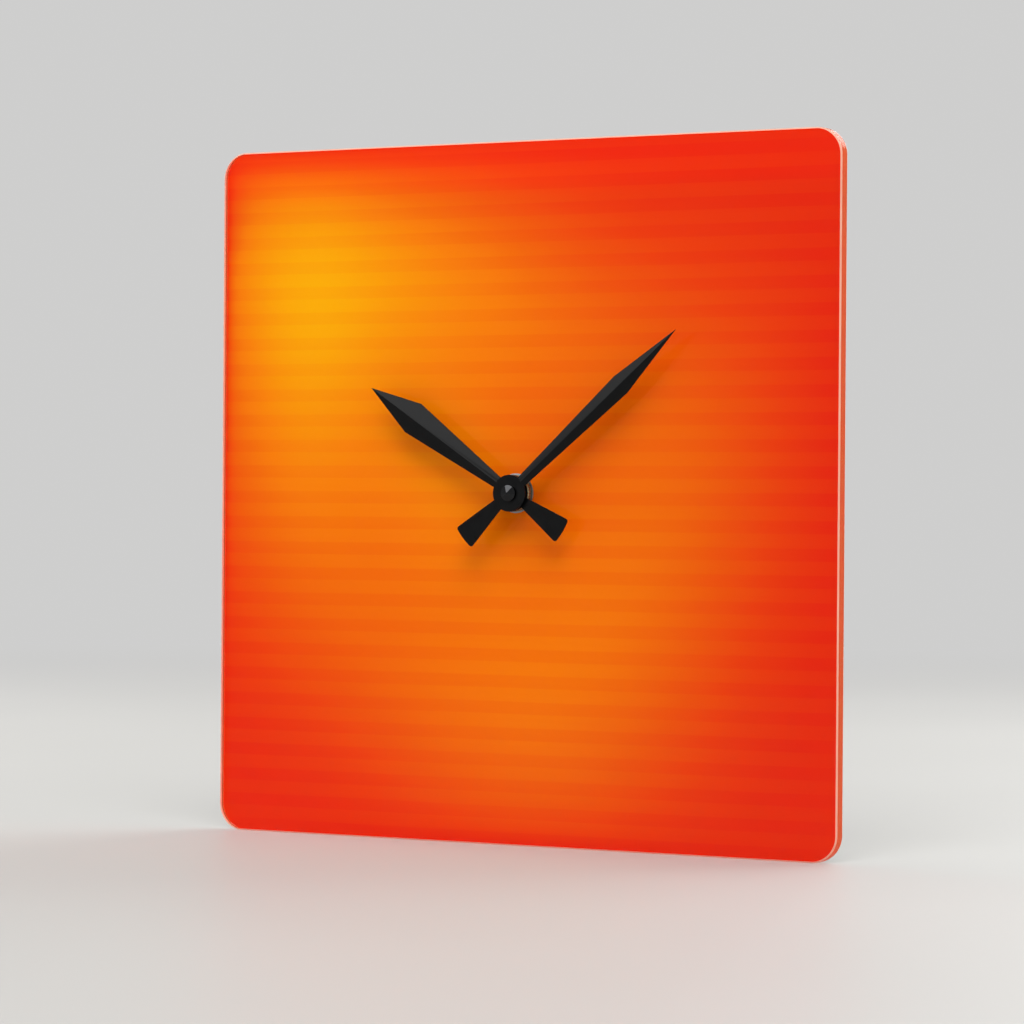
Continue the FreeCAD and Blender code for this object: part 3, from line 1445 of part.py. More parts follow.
def make_negative_contact():
    """Plate with a bent leaf that presses on the cell's flat end."""
    body = new_body("negative")
    wall_x = -inner_half
    plate_x = wall_x + S.contact_thickness
    plate = new_sketch(body, "negative_plate", height=contact_back)
    draw_rectangle(plate, wall_x, contact_low, plate_x, bay_top - S.fit)
    pad(body, plate, S.contact_depth)
    riser = new_sketch(body, "negative_riser", height=strip_back)
    riser_top = S.board_bottom + S.contact_strip_width
    draw_rectangle(riser, wall_x, contact_low, plate_x, riser_top)
    pad(body, riser, S.contact_strip_width)
    foot = new_sketch(body, "negative_foot", height=strip_back)
    draw_rectangle(foot, wall_x, S.board_bottom, board_left + S.contact_thickness,
                   riser_top)
    pad(body, foot, S.contact_thickness)
    post = new_sketch(body, "negative_post", height=strip_back)
    draw_rectangle(post, board_left, S.board_bottom, board_left + S.contact_thickness,
                   riser_top)
    pad(body, post, board_back - strip_back)
    # the leaf is bent in the plane of the cell's axis: out, to its crest, and back
    leaf = new_sketch(body, "negative_leaf", height=-(bay_middle + S.contact_strip_width),
                      role="XZ_Plane")
    crest = battery_foot - S.battery_end_gap
    bend = S.contact_leaf_thickness
    top = contact_back + S.contact_depth - bend
    draw_polygon(leaf, [
        (plate_x - bend / 2, contact_back),
        (crest, battery_middle),
        (plate_x + bend, top),
        (plate_x + bend, top - bend),
        (crest - 1.5 * bend, battery_middle),
        (plate_x - bend / 2, contact_back + 1.5 * bend),
    ])
    pad(body, leaf, 2 * S.contact_strip_width)
    keep(body, "negative_contact")


# -------------------------------------------------------------------- build and write

make_face()
make_clamping()
make_hanger()
make_hands()
make_cap_nut()
make_minute_arbor()
make_hour_wheel()
make_motion_wheel()
make_setting_pinion()
make_setting_knob()
make_centre_wheel()
make_third_wheel()
make_seconds_wheel()
make_intermediate_wheel()
make_rotor()
make_stator()
make_coil()
make_electronics()
make_front_case()
make_rear_cover()
make_middle_plate()
make_battery()
make_positive_contact()
make_negative_contact()

doc.recompute()
for thing in doc.Objects:
    if {"Invalid", "Error"} & set(thing.State):
        raise RuntimeError(f"{thing.Name} is {thing.State}")

os.makedirs("parts", exist_ok=True)
for piece in sub_parts:
    shape = piece.Shape
    if shape.isNull() or not shape.isValid() or not shape.Solids:
        raise RuntimeError(f"{piece.Label} has no valid solid")
    if not re.fullmatch(r"[a-z0-9_]+", piece.Label):
        raise RuntimeError(f"{piece.Label} is not a plain name")
    shape.exportStep(f"parts/{piece.Label}.step")
    box = shape.BoundBox
    print(f"{piece.Label:20s} solids {len(shape.Solids)} volume {shape.Volume:9.2f}"
          f" x {box.XMin:8.2f} {box.XMax:8.2f} y {box.YMin:8.2f} {box.YMax:8.2f}"
          f" z {box.ZMin:8.2f} {box.ZMax:8.2f}")
print(f"{len(sub_parts)} pieces")
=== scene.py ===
import math
import bmesh
import bpy
from mathutils import Matrix, Vector


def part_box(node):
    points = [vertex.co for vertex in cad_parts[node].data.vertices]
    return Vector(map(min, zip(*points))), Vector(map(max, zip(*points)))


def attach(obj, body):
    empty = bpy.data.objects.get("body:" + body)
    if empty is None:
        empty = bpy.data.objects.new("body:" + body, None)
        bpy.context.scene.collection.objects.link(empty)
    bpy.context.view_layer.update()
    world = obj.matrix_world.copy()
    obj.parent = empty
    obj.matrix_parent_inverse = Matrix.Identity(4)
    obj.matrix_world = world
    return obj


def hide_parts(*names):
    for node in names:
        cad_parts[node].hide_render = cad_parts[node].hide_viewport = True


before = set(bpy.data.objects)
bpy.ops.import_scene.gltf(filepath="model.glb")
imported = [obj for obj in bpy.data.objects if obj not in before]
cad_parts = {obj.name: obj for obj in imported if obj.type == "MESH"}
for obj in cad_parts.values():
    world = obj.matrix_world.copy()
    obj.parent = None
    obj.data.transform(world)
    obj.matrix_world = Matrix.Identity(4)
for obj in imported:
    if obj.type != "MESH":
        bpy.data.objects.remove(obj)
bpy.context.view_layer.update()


# -----------------------------------------------------------------------------
# The room: a wide pale floor that fades into a pale sky. A broad lamp above in front lights
# only matt surfaces, and a small bright one in its place shows only in glossy or clear ones.
# Weaker lamps stand left, right and at the left rim, and two behind light the movement.
# -----------------------------------------------------------------------------

MM = 0.001


class Signal:
    """One output socket of a node. Arithmetic on it adds Math nodes beside it."""

    def __init__(self, nodes, socket):
        self.nodes = nodes
        self.socket = socket

    def __add__(self, other):
        return self.nodes.math("ADD", self, other)

    def __radd__(self, other):
        return self.nodes.math("ADD", other, self)

    def __sub__(self, other):
        return self.nodes.math("SUBTRACT", self, other)

    def __rsub__(self, other):
        return self.nodes.math("SUBTRACT", other, self)

    def __mul__(self, other):
        return self.nodes.math("MULTIPLY", self, other)

    def __rmul__(self, other):
        return self.nodes.math("MULTIPLY", other, self)

    def __truediv__(self, other):
        return self.nodes.math("DIVIDE", self, other)

    def __rtruediv__(self, other):
        return self.nodes.math("DIVIDE", other, self)

    def __pow__(self, other):
        return self.nodes.math("POWER", self, other)

    def __rpow__(self, other):
        return self.nodes.math("POWER", other, self)


class Nodes:
    """The shader nodes of one material, or of the world."""

    def __init__(self, owner):
        owner.use_nodes = True
        self.owner = owner
        self.tree = owner.node_tree
        self.tree.nodes.clear()

    def add(self, kind, settings=None, sockets=None, output=0):
        """Any node: its settings first, then the values or links of its sockets."""
        node = self.tree.nodes.new(kind)
        for name, value in (settings or {}).items():
            if name != "stops":
                setattr(node, name, value)
                continue
            ramp = node.color_ramp.elements
            while len(ramp) < len(value):
                ramp.new(0.5)
            for stop, (position, colour) in zip(ramp, value):
                stop.position = position
                stop.color = colour
        for name, value in (sockets or {}).items():
            if isinstance(value, Signal):
                self.tree.links.new(value.socket, node.inputs[name])
            else:
                node.inputs[name].default_value = value
        return Signal(self, node.outputs[output])

    def math(self, operation, *terms):
        return self.add("ShaderNodeMath", {"operation": operation}, dict(enumerate(terms)))

    def vector(self, operation, *terms, output=0):
        inputs = dict(enumerate(terms))
        return self.add("ShaderNodeVectorMath", {"operation": operation}, inputs, output)

    def blend(self, first, second, share):
        """A colour that goes from the first to the second as share goes from 0 to 1."""
        inputs = {0: share, 6: first, 7: second}
        return self.add("ShaderNodeMix", {"data_type": "RGBA"}, inputs, output=2)

    def mix(self, first, second, share):
        """A shader that goes from the first to the second as share goes from 0 to 1."""
        return self.add("ShaderNodeMixShader", None, {0: share, 1: first, 2: second})

    def where(self, centre=(0, 0, 0)):
        """The place on the piece in millimetres, counted from centre, a point in metres."""
        place = self.add("ShaderNodeTexCoord", output="Object")
        from_centre = self.vector("SUBTRACT", place, tuple(centre))
        return self.vector("MULTIPLY", from_centre, (1 / MM, 1 / MM, 1 / MM))

    def parts(self, vector):
        """The x, y and z of a vector."""
        x = self.add("ShaderNodeSeparateXYZ", None, {0: vector})
        return [Signal(self, socket) for socket in x.socket.node.outputs]

    def noise(self, place, detail=2.0):
        """Cloudy noise from 0 to 1, with patches about one unit of place across."""
        inputs = {"Vector": place, "Scale": 1.0, "Detail": detail}
        return self.add("ShaderNodeTexNoise", None, inputs)

    def grain(self, size, detail=2.0, stretch=(1, 1, 1)):
        """The same with patches about size millimetres across, times stretch."""
        size_by_axis = tuple(size * axis for axis in stretch)
        return self.noise(self.vector("DIVIDE", self.where(), size_by_axis), detail)

    def ease(self, value, start, end):
        """0 below start, 1 above end, and a smooth step between."""
        settings = {"interpolation_type": "SMOOTHSTEP"}
        inputs = {0: value, 1: start, 2: end, 3: 0.0, 4: 1.0}
        return self.add("ShaderNodeMapRange", settings, inputs)

    def bump(self, height, depth):
        """A relief of the height signal, depth millimetres deep."""
        inputs = {"Height": height, "Distance": depth * MM, "Strength": 1.0}
        return self.add("ShaderNodeBump", None, inputs)

    def shader(self, **sockets):
        """A Principled shader. Its socket names are written with _ for spaces."""
        named = {name.replace("_", " "): value for name, value in sockets.items()}
        return self.add("ShaderNodeBsdfPrincipled", None, named)

    def show(self, shader, output="ShaderNodeOutputMaterial"):
        """Joins the shader to the output and gives back the material."""
        node = self.tree.nodes.new(output)
        self.tree.links.new(shader.socket, node.inputs["Surface"])
        return self.owner

    def surface(self, **sockets):
        """The material, with one Principled shader as its whole surface."""
        return self.show(self.shader(**sockets))


def finish(name):
    """The empty nodes of a new material."""
    return Nodes(bpy.data.materials.new(name))


def shown(red, green, blue):
    """The colour that appears on screen as these three numbers from 0 to 255."""
    scaled = [channel / 255 for channel in (red, green, blue)]
    linear = [c / 12.92 if c <= 0.04045 else ((c + 0.055) / 1.055) ** 2.4 for c in scaled]
    return (*linear, 1.0)


def object_of(name, data):
    piece = bpy.data.objects.new(name, data)
    bpy.context.scene.collection.objects.link(piece)
    return piece


FLOOR_REACH = 8.0
FLOOR_FADE = (450.0, 1500.0)
FLOOR_PATCH = 300.0
SKY_STRENGTH = 0.62
SKY_TINT = (1.0, 0.997, 0.990, 1.0)
floor_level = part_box("face_panel")[0].z
floor_mesh = bpy.data.meshes.new("floor")
floor_corners = [(-1, -1), (1, -1), (1, 1), (-1, 1)]
floor_points = [(FLOOR_REACH * x, FLOOR_REACH * y, floor_level) for x, y in floor_corners]
floor_mesh.from_pydata(floor_points, [], [(0, 1, 2, 3)])
floor = object_of("floor", floor_mesh)


def pale_floor():
    nodes = finish("pale_floor")
    place = nodes.where()
    tone = nodes.blend(shown(180, 179, 176), shown(188, 187, 184), nodes.grain(FLOOR_PATCH))
    near = nodes.shader(Base_Color=tone, Roughness=0.50, Specular_IOR_Level=0.20)
    far = nodes.add("ShaderNodeEmission", None, {"Color": SKY_TINT, "Strength": SKY_STRENGTH})
    away = nodes.ease(nodes.vector("LENGTH", place, output="Value"), *FLOOR_FADE)
    return nodes.show(nodes.mix(near, far, away))


floor_mesh.materials.append(pale_floor())

world = bpy.data.worlds.new("studio_air")
bpy.context.scene.world = world
sky = Nodes(world)
sky_shader = sky.add("ShaderNodeBackground", None, {"Color": SKY_TINT, "Strength": SKY_STRENGTH})
sky.show(sky_shader, "ShaderNodeOutputWorld")

FACE_CENTRE = Vector((0.0, -0.022, 0.0))
LAMPS = [
    # name, place, width, height, watts, lights matt surfaces, shows in glossy and clear ones
    ("lamp_above", (0.820, -1.680, 2.310), 2.30, 1.90, 67.5, True, False),
    ("lamp_spark", (0.820, -1.680, 2.310), 0.90, 0.70, 58.0, False, True),
    ("lamp_left", (-0.633, -1.190, 0.658), 1.05, 0.58, 11.5, False, True),
    ("lamp_right", (1.30, -0.60, 0.20), 0.60, 0.80, 1.0, True, True),
    ("lamp_rim", (-1.30, 0.08, 0.30), 0.60, 0.60, 9.0, True, False),
    ("lamp_behind", (0.45, 1.10, 0.90), 1.10, 0.80, 9.0, True, True),
    ("lamp_corner", (0.10, 1.37, 0.62), 1.00, 0.30, 5.0, False, True),
]


def soft_lamp(name, place, width, height, watts, matt, gloss):
    """A rectangular soft lamp aimed at the middle of the face."""
    light = bpy.data.lights.new(name, "AREA")
    light.shape = "RECTANGLE"
    light.size = width
    light.size_y = height
    light.energy = watts
    lamp = object_of(name, light)
    lamp.location = place
    lamp.rotation_euler = (FACE_CENTRE - Vector(place)).to_track_quat("-Z", "Y").to_euler()
    lamp.visible_diffuse = matt
    lamp.visible_glossy = gloss
    lamp.visible_transmission = gloss


for lamp_values in LAMPS:
    soft_lamp(*lamp_values)

CAMERA_PLACE = Vector((0.5260, -0.9671, -0.0022))
CAMERA_TURN = math.radians(29.164)
CAMERA_TILT = math.radians(-0.170)
CAMERA_ROLL = math.radians(0.420)
CAMERA_FIELD = math.radians(15.53)
camera = object_of("camera", bpy.data.cameras.new("camera"))
camera.data.angle = CAMERA_FIELD
camera.matrix_world = (
    Matrix.Translation(CAMERA_PLACE)
    @ Matrix.Rotation(CAMERA_TURN, 4, "Z")
    @ Matrix.Rotation(math.pi / 2 + CAMERA_TILT, 4, "X")
    @ Matrix.Rotation(CAMERA_ROLL, 4, "Z")
)
bpy.context.scene.camera = camera
bpy.context.scene.view_settings.view_transform = "Standard"


# -----------------------------------------------------------------------------
# The face panel: one square of clear cast acrylic, polished in front, with a hole for the
# neck. Its front edge has a narrow milled chamfer, frosted by the cutter, its sides are
# satin, its rear arris is scraped, and its back is wetted by the glue of the print. The
# frost on the cut edges is real, its colour is painted light from the print.
# -----------------------------------------------------------------------------

PANEL_CORNER = 7.8 * MM
PANEL_CHAMFER = 0.4 * MM
CHAMFER_EASE = 0.04 * MM
PANEL_REAR_ARRIS = 0.10 * MM
PANEL_HOLE = 4.2 * MM
CORNER_STEPS = 20
SIDE_STEPS = 14
QUARTER_TURNS = (0, math.pi / 2, math.pi, 3 * math.pi / 2)
ACRYLIC_TINT = (0.985, 0.992, 0.990, 1.0)
ACRYLIC_INDEX = 1.49
GLUE_INDEX = 1.01
CUT_MARK_STRETCH = (1, 30, 1)
CUT_MARK_DEPTH = 0.0003
FROST_PATCH = 5.0
FROST_ROUGHNESS = 0.6
EDGE_GLINT = (0.30, 0.10, 0.05, 1.0)
# Painted light: the frost colours of the chamfer, the sides and the rear arris hold the print's
# orange and red light seen in the cut edges.
CHAMFER_PAINTED_GLOW = (0.95, 0.72, 0.54, 1.0)
GLINT_SHARE = 0.35
SIDE_PAINTED_GLOW = (0.42, 0.40, 0.13, 1.0)
# Painted light: a pale glow on the side walls seen from inside near the front, and the depths
# over which it fades.
INNER_PAINTED_GLOW = (1.0, 0.74, 0.62, 1.0)
INNER_PAINTED_GLOW_DEPTH = (2.0, 2.5)
ARRIS_PAINTED_GLOW = (0.72, 0.06, 0.02, 1.0)


def rounded_square(half, corner, depth):
    """Points round a square with rounded corners that faces along y, at that depth."""
    reach = half - corner
    quarter = []
    for step in range(CORNER_STEPS + 1):
        angle = step / CORNER_STEPS * math.pi / 2
        quarter.append((reach + corner * math.cos(angle), reach + corner * math.sin(angle)))
    for step in range(1, SIDE_STEPS):
        quarter.append((reach * (1 - 2 * step / SIDE_STEPS), half))
    points = []
    for turn in QUARTER_TURNS:
        c, s = math.cos(turn), math.sin(turn)
        points += [Vector((x * c - z * s, depth, x * s + z * c)) for x, z in quarter]
    return points


def hole_ring(outline, radius, depth):
    """A circle about the hands' axis with a point on the same ray as each outline point."""
    ring = []
    for point in outline:
        away = math.hypot(point.x, point.z)
        ring.append(Vector((point.x / away * radius, depth, point.z / away * radius)))
    return ring


def piece_from(name, work):
    """A new piece from the work mesh, with its faces turned outward."""
    mesh = bpy.data.meshes.new(name)
    bmesh.ops.recalc_face_normals(work, faces=work.faces)
    work.to_mesh(mesh)
    work.free()
    return object_of(name, mesh)


def skin(name, rings, finishes, closed=True, smooth_below=30):
    """A solid from rings with equal numbers of points, each joined to the next. The last
    joins the first, or else both ends are capped. finishes has one (material, first ring)
    for each stretch of rings."""
    work = bmesh.new()
    rows = [[work.verts.new(point) for point in ring] for ring in rings]
    starts = [start for _, start in finishes]
    pairs = list(zip(rows, rows[1:])) + ([(rows[-1], rows[0])] if closed else [])
    for index, (near, far) in enumerate(pairs):
        stretch = sum(start <= index for start in starts) - 1
        for corner in range(len(near)):
            following = (corner + 1) % len(near)
            face = work.faces.new((near[corner], near[following], far[following], far[corner]))
            face.material_index = stretch
    if not closed:
        work.faces.new(rows[0])
        work.faces.new(rows[-1]).material_index = len(finishes) - 1
    for face in work.faces:
        face.smooth = True
    piece = piece_from(name, work)
    piece.data.set_sharp_from_angle(angle=math.radians(smooth_below))
    for material, _ in finishes:
        piece.data.materials.append(material)
    return piece


def fit(piece, node, body="movement"):
    """The piece stands for the node, which it hides, and rides on the body."""
    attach(piece, body)
    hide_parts(node)


def letting_light_in(nodes, glass):
    """Lamps and bounced light go straight through the acrylic. Sight bends and mirrors in it."""
    clear = nodes.add("ShaderNodeBsdfTransparent")
    for ray in ("Diffuse", "Shadow"):
        share = nodes.add("ShaderNodeLightPath", output=f"Is {ray} Ray")
        glass = nodes.mix(glass, clear, share)
    return glass


def bending(nodes, **sockets):
    """A clear surface that bends what is seen through it and mirrors nothing."""
    return nodes.add("ShaderNodeBsdfRefraction", None, {"Color": ACRYLIC_TINT, **sockets})


def mirroring(nodes, **sockets):
    """A clear surface that bends what is seen through it and mirrors what is in front."""
    clear = {"Base_Color": ACRYLIC_TINT, "Transmission_Weight": 1.0, "IOR": ACRYLIC_INDEX}
    return nodes.shader(**clear, **sockets)


def polished_acrylic():
    """The face. Sight from outside bends in it, and sight from inside also mirrors."""
    nodes = finish("polished_acrylic")
    smear = nodes.grain(14.0, detail=3.0) * nodes.grain(2.2)
    wave = nodes.bump(nodes.grain(45.0, detail=1.0), 0.01)
    bent = bending(nodes, Roughness=0.010 + 0.030 * smear, IOR=ACRYLIC_INDEX, Normal=wave)
    mirror = mirroring(nodes, Roughness=0.02)
    inside = nodes.add("ShaderNodeNewGeometry", output="Backfacing")
    return nodes.show(letting_light_in(nodes, nodes.mix(bent, mirror, inside)))


def bonded_acrylic():
    """The back, wetted by the glue of the print, so that almost nothing bends there."""
    nodes = finish("bonded_acrylic")
    glass = bending(nodes, Roughness=0.010 + 0.020 * nodes.grain(6.0), IOR=GLUE_INDEX)
    return nodes.show(letting_light_in(nodes, glass))


panel_low, panel_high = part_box("face_panel")
panel_half = panel_high.x


def cut_acrylic(name, glow, roughness, frost, step, inner_painted_glow=0.0):
    """An edge left by the cutter: marks across it, step millimetres apart, and a share of
    real frost whose colour glow is painted light from the print. The last argument is the
    share of a pale painted glow seen from inside, near the front."""
    nodes = finish(name)
    marks = nodes.grain(step, stretch=CUT_MARK_STRETCH)
    relief = nodes.bump(marks, CUT_MARK_DEPTH)
    uneven = roughness * (0.9 + 0.2 * marks)
    glass = mirroring(nodes, Roughness=uneven, Specular_Tint=EDGE_GLINT, Normal=relief)
    bent = bending(nodes, Roughness=roughness, IOR=ACRYLIC_INDEX, Normal=relief)
    inside = nodes.add("ShaderNodeNewGeometry", output="Backfacing")
    clear = nodes.mix(bent, glass, GLINT_SHARE + (1 - GLINT_SHARE) * inside)
    dull = {"Roughness": FROST_ROUGHNESS, "Specular_IOR_Level": 0.0}
    # The frost's colour glow is painted light from the print.
    scatter = nodes.shader(Base_Color=glow, Normal=relief, **dull)
    edge = nodes.mix(clear, scatter, frost * (0.8 + 0.4 * nodes.grain(FROST_PATCH)))
    # Painted light: a pale glow where the side wall is seen from inside, fading away from the
    # front.
    if inner_painted_glow:
        _, depth, _ = nodes.parts(nodes.where((0, panel_low.y, 0)))
        near_front = 1 - nodes.ease(depth, *INNER_PAINTED_GLOW_DEPTH)
        pale = nodes.shader(Base_Color=INNER_PAINTED_GLOW, **dull)
        edge = nodes.mix(edge, pale, inner_painted_glow * inside * near_front)
    return nodes.show(letting_light_in(nodes, edge))


def panel_ring(inset, depth):
    return rounded_square(panel_half - inset, PANEL_CORNER - inset, depth)


face_clear = polished_acrylic()
back_clear = bonded_acrylic()
chamfer_cut = cut_acrylic("milled_chamfer", CHAMFER_PAINTED_GLOW, roughness=0.30, frost=0.52, step=0.35)
# The sides also carry a painted pale glow seen from inside.
side_cut = cut_acrylic(
    "satin_cut_side", SIDE_PAINTED_GLOW, roughness=0.18, frost=0.20, step=0.25, inner_painted_glow=0.60
)
arris_cut = cut_acrylic("scraped_arris", ARRIS_PAINTED_GLOW, roughness=0.35, frost=1.30, step=0.30)
chamfer_foot = panel_low.y + PANEL_CHAMFER
rear_rim = panel_ring(PANEL_REAR_ARRIS, panel_high.y)
front_rim = panel_ring(PANEL_CHAMFER, panel_low.y)
panel = skin(
    "acrylic_panel",
    [
        hole_ring(rear_rim, PANEL_HOLE, panel_high.y),
        rear_rim,
        panel_ring(0.0, panel_high.y - PANEL_REAR_ARRIS),
        panel_ring(0.0, chamfer_foot + CHAMFER_EASE),
        panel_ring(CHAMFER_EASE / 2, chamfer_foot - CHAMFER_EASE / 4),
        panel_ring(PANEL_CHAMFER - CHAMFER_EASE, panel_low.y + CHAMFER_EASE / 2),
        front_rim,
        hole_ring(front_rim, PANEL_HOLE, panel_low.y),
    ],
    [(back_clear, 0), (arris_cut, 1), (side_cut, 2), (chamfer_cut, 3), (face_clear, 6)],
    smooth_below=12,
)
fit(panel, "face_panel")


# -----------------------------------------------------------------------------
# The print: inks on a thin clear film, laminated face down to the back of the acrylic.
# Soft glows of yellow and orange on red, crossed by even bands as fine as corduroy.
# -----------------------------------------------------------------------------

# The film's front is set this far into the acrylic, so that no faces share a plane.
FILM_BED = 0.02 * MM
BAND_PITCH = 7.57
BAND_LIGHT_SHARE = 0.53
BAND_EDGE = (0.24, 0.29)
BAND_TOP = 95.2
BAND_WAVER = 0.4
BAND_STRENGTH = 0.050
STREAK_STRENGTH = 0.030
CLOUD_STRENGTH = 0.030
FLECK_STRENGTH = 0.012
EDGE_FADES = {"left": 1.4, "right": 12.7, "top": 6.7, "bottom": 6.8}
GLOWS = {
    # strength, middle x and z, spread along and across, tilt
    "left column": (0.618, -77.8, 36.3, 22.5, 42.6, 0.05),
    "heart": (0.414, -24.7, 3.1, 24.5, 18.6, -0.80),
    "lower slope": (0.363, -35.9, -46.5, 43.4, 26.9, -0.74),
    "upper glow": (0.650, -36.5, 62.7, 52.2, 26.2, -0.34),
    "lower right": (0.488, 32.4, -30.3, 30.8, 54.1, -0.41),
}
INKS = [
    (0.00, shown(229, 38, 12)),
    (0.16, shown(234, 61, 10)),
    (0.32, shown(236, 83, 8)),
    (0.48, shown(239, 104, 6)),
    (0.64, shown(244, 125, 5)),
    (0.80, shown(246, 146, 3)),
    (0.95, shown(248, 164, 2)),
    (1.00, shown(248, 169, 2)),
]
# Painted shade: the print darkens towards its right edge, standing in for light that falls off
# there.
PAINTED_SHADE_RIGHT = 0.07
PAINTED_SHADE_RIGHT_FROM = -0.2
PAINTED_SHADE_INK = (0.0, 0.0, 0.0, 1.0)
# Painted light: the print's red is lightened towards its top edge, where more light falls.
PAINTED_LIGHT_TOP = (1.075, 1.0, 1.0)
PAINTED_LIGHT_TOP_RISE = (83.0, 94.0)
CORNER_FADE = 2.1
CORNER_FADE_RISE = (62.0, 90.0)


def striped_print():
    nodes = finish("striped_print")
    x, _, z = nodes.parts(nodes.where())
    warmth = 0.0
    for strength, middle_x, middle_z, along, across, tilt in GLOWS.values():
        run = ((x - middle_x) * math.cos(tilt) + (z - middle_z) * math.sin(tilt)) / along
        rise = ((z - middle_z) * math.cos(tilt) - (x - middle_x) * math.sin(tilt)) / across
        warmth = strength * math.e ** (-0.5 * (run * run + rise * rise)) + warmth
    half = panel_half / MM
    to_edges = {"left": half + x, "right": half - x, "top": half - z, "bottom": half + z}
    fades = dict(EDGE_FADES)
    fades["left"] = EDGE_FADES["left"] + CORNER_FADE * nodes.ease(z, *CORNER_FADE_RISE)
    for side, distance in to_edges.items():
        warmth = warmth * (1 - math.e ** (-1 * distance / fades[side]))
    waver = nodes.grain(60.0, detail=1.0, stretch=(1, 1, 0.25))
    phase = (BAND_TOP - z + BAND_WAVER * (waver - 0.5)) / BAND_PITCH
    from_middle = nodes.math("ABSOLUTE", nodes.math("FRACT", phase) - BAND_LIGHT_SHARE / 2)
    light = 1 - nodes.ease(from_middle, *BAND_EDGE)
    streaks = nodes.grain(0.9, detail=3.0, stretch=(45, 1, 1))
    clouds = nodes.grain(11.0, detail=3.0, stretch=(2, 1, 1))
    fleck = nodes.grain(0.25, detail=1.0)
    tone = warmth + BAND_STRENGTH * (light - 0.5)
    tone = tone + STREAK_STRENGTH * (streaks - 0.5) + CLOUD_STRENGTH * (clouds - 0.5)
    tone = tone + FLECK_STRENGTH * (fleck - 0.5)
    ink = nodes.add("ShaderNodeValToRGB", {"stops": INKS}, {0: tone})
    # Painted shade: the print is darker towards the right edge.
    rightward = nodes.ease(x, PAINTED_SHADE_RIGHT_FROM * half, half)
    ink = nodes.blend(ink, PAINTED_SHADE_INK, PAINTED_SHADE_RIGHT * rightward)
    # Painted light: the red is lightened towards the top.
    painted_top_light = nodes.vector("MULTIPLY", ink, PAINTED_LIGHT_TOP)
    ink = nodes.blend(ink, painted_top_light, nodes.ease(z, *PAINTED_LIGHT_TOP_RISE))
    return nodes.surface(
        Base_Color=ink,
        Roughness=0.8,
        Specular_IOR_Level=0.0,
        Coat_Weight=0.15,
        Coat_Roughness=0.05,
        Coat_IOR=ACRYLIC_INDEX,
    )


film_low, film_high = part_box("print_film")
film_corner = PANEL_CORNER - (panel_half - film_high.x)
film_front = rounded_square(film_high.x, film_corner, film_low.y - FILM_BED)
film_rear = rounded_square(film_high.x, film_corner, film_high.y)
film = skin(
    "printed_film",
    [
        hole_ring(film_rear, PANEL_HOLE, film_high.y),
        film_rear,
        film_front,
        hole_ring(film_front, PANEL_HOLE, film_low.y - FILM_BED),
    ],
    [(striped_print(), 0)],
)
fit(film, "print_film")


# -----------------------------------------------------------------------------
# The backing: a matt white vinyl sheet on the back of the print, so that the wall doesn't
# darken it. It is pressed on by hand and shows a faint texture and a few soft ripples.
# -----------------------------------------------------------------------------


def wear(node, material):
    """Gives a solid that keeps its own shape its finish."""
    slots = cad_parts[node].data.materials
    slots.clear()
    slots.append(material)


def matt_vinyl():
    nodes = finish("matt_white_vinyl")
    weave = nodes.grain(0.30)
    ripple = nodes.grain(28.0, detail=1.0)
    tone = nodes.blend(shown(236, 235, 231), shown(245, 244, 241), nodes.grain(9.0, detail=3.0))
    relief = nodes.bump(0.06 * weave + ripple, 0.25)
    return nodes.surface(Base_Color=tone, Roughness=0.60 + 0.10 * weave, Normal=relief)


wear("white_backing", matt_vinyl())


# -----------------------------------------------------------------------------
# The gasket: a punched black rubber ring that keeps the movement from slipping round.
# It has the fine sheen of calendered rubber, with a pale bloom in places.
# -----------------------------------------------------------------------------

WELD = 0.002 * MM
FLAT_ANGLE = math.radians(1)
RUBBER_BLACK = (0.018, 0.018, 0.018, 1.0)
RUBBER_BLOOM = (0.040, 0.040, 0.038, 1.0)


def eased(node, name, material, edge, corner=25, cut_by=()):
    """The node's own solid with its edges sharper than corner degrees rounded by edge
    millimetres, after the tools in cut_by have cut into it."""
    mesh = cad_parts[node].data.copy()
    mesh.name = name
    work = bmesh.new()
    work.from_mesh(mesh)
    bmesh.ops.remove_doubles(work, verts=work.verts, dist=WELD)
    bmesh.ops.dissolve_limit(work, angle_limit=FLAT_ANGLE, verts=work.verts, edges=work.edges)
    for face in work.faces:
        face.smooth = True
    work.to_mesh(mesh)
    work.free()
    # The solid's stored normals would hide the rounding.
    stored = mesh.attributes.get("custom_normal")
    if stored is not None:
        mesh.attributes.remove(stored)
    mesh.materials.clear()
    mesh.materials.append(material)
    piece = object_of(name, mesh)
    for tool in cut_by:
        cut = piece.modifiers.new("cut", "BOOLEAN")
        cut.object = tool
        cut.solver = "EXACT"
    rounding = piece.modifiers.new("rounding", "BEVEL")
    rounding.width = edge * MM
    rounding.segments = 2
    rounding.angle_limit = math.radians(corner)
    rounding.harden_normals = True
    rounding.miter_outer = "MITER_ARC"
    bpy.context.view_layer.update()
    shaped = piece.evaluated_get(bpy.context.evaluated_depsgraph_get())
    done = bpy.data.meshes.new_from_object(shaped)
    done.name = name
    piece.modifiers.clear()
    piece.data = done
    for tool in cut_by:
        bpy.data.objects.remove(tool)
    return piece


def calendered_rubber():
    nodes = finish("black_gasket_rubber")
    pores = nodes.grain(0.12)
    bloom = nodes.grain(3.5, detail=3.0)
    return nodes.surface(
        Base_Color=nodes.blend(RUBBER_BLACK, RUBBER_BLOOM, bloom),
        Roughness=0.62 + 0.2 * bloom,
        Normal=nodes.bump(pores, 0.02),
    )


gasket = eased("rubber_gasket", "gasket_ring", calendered_rubber(), edge=0.12)
fit(gasket, "rubber_gasket")


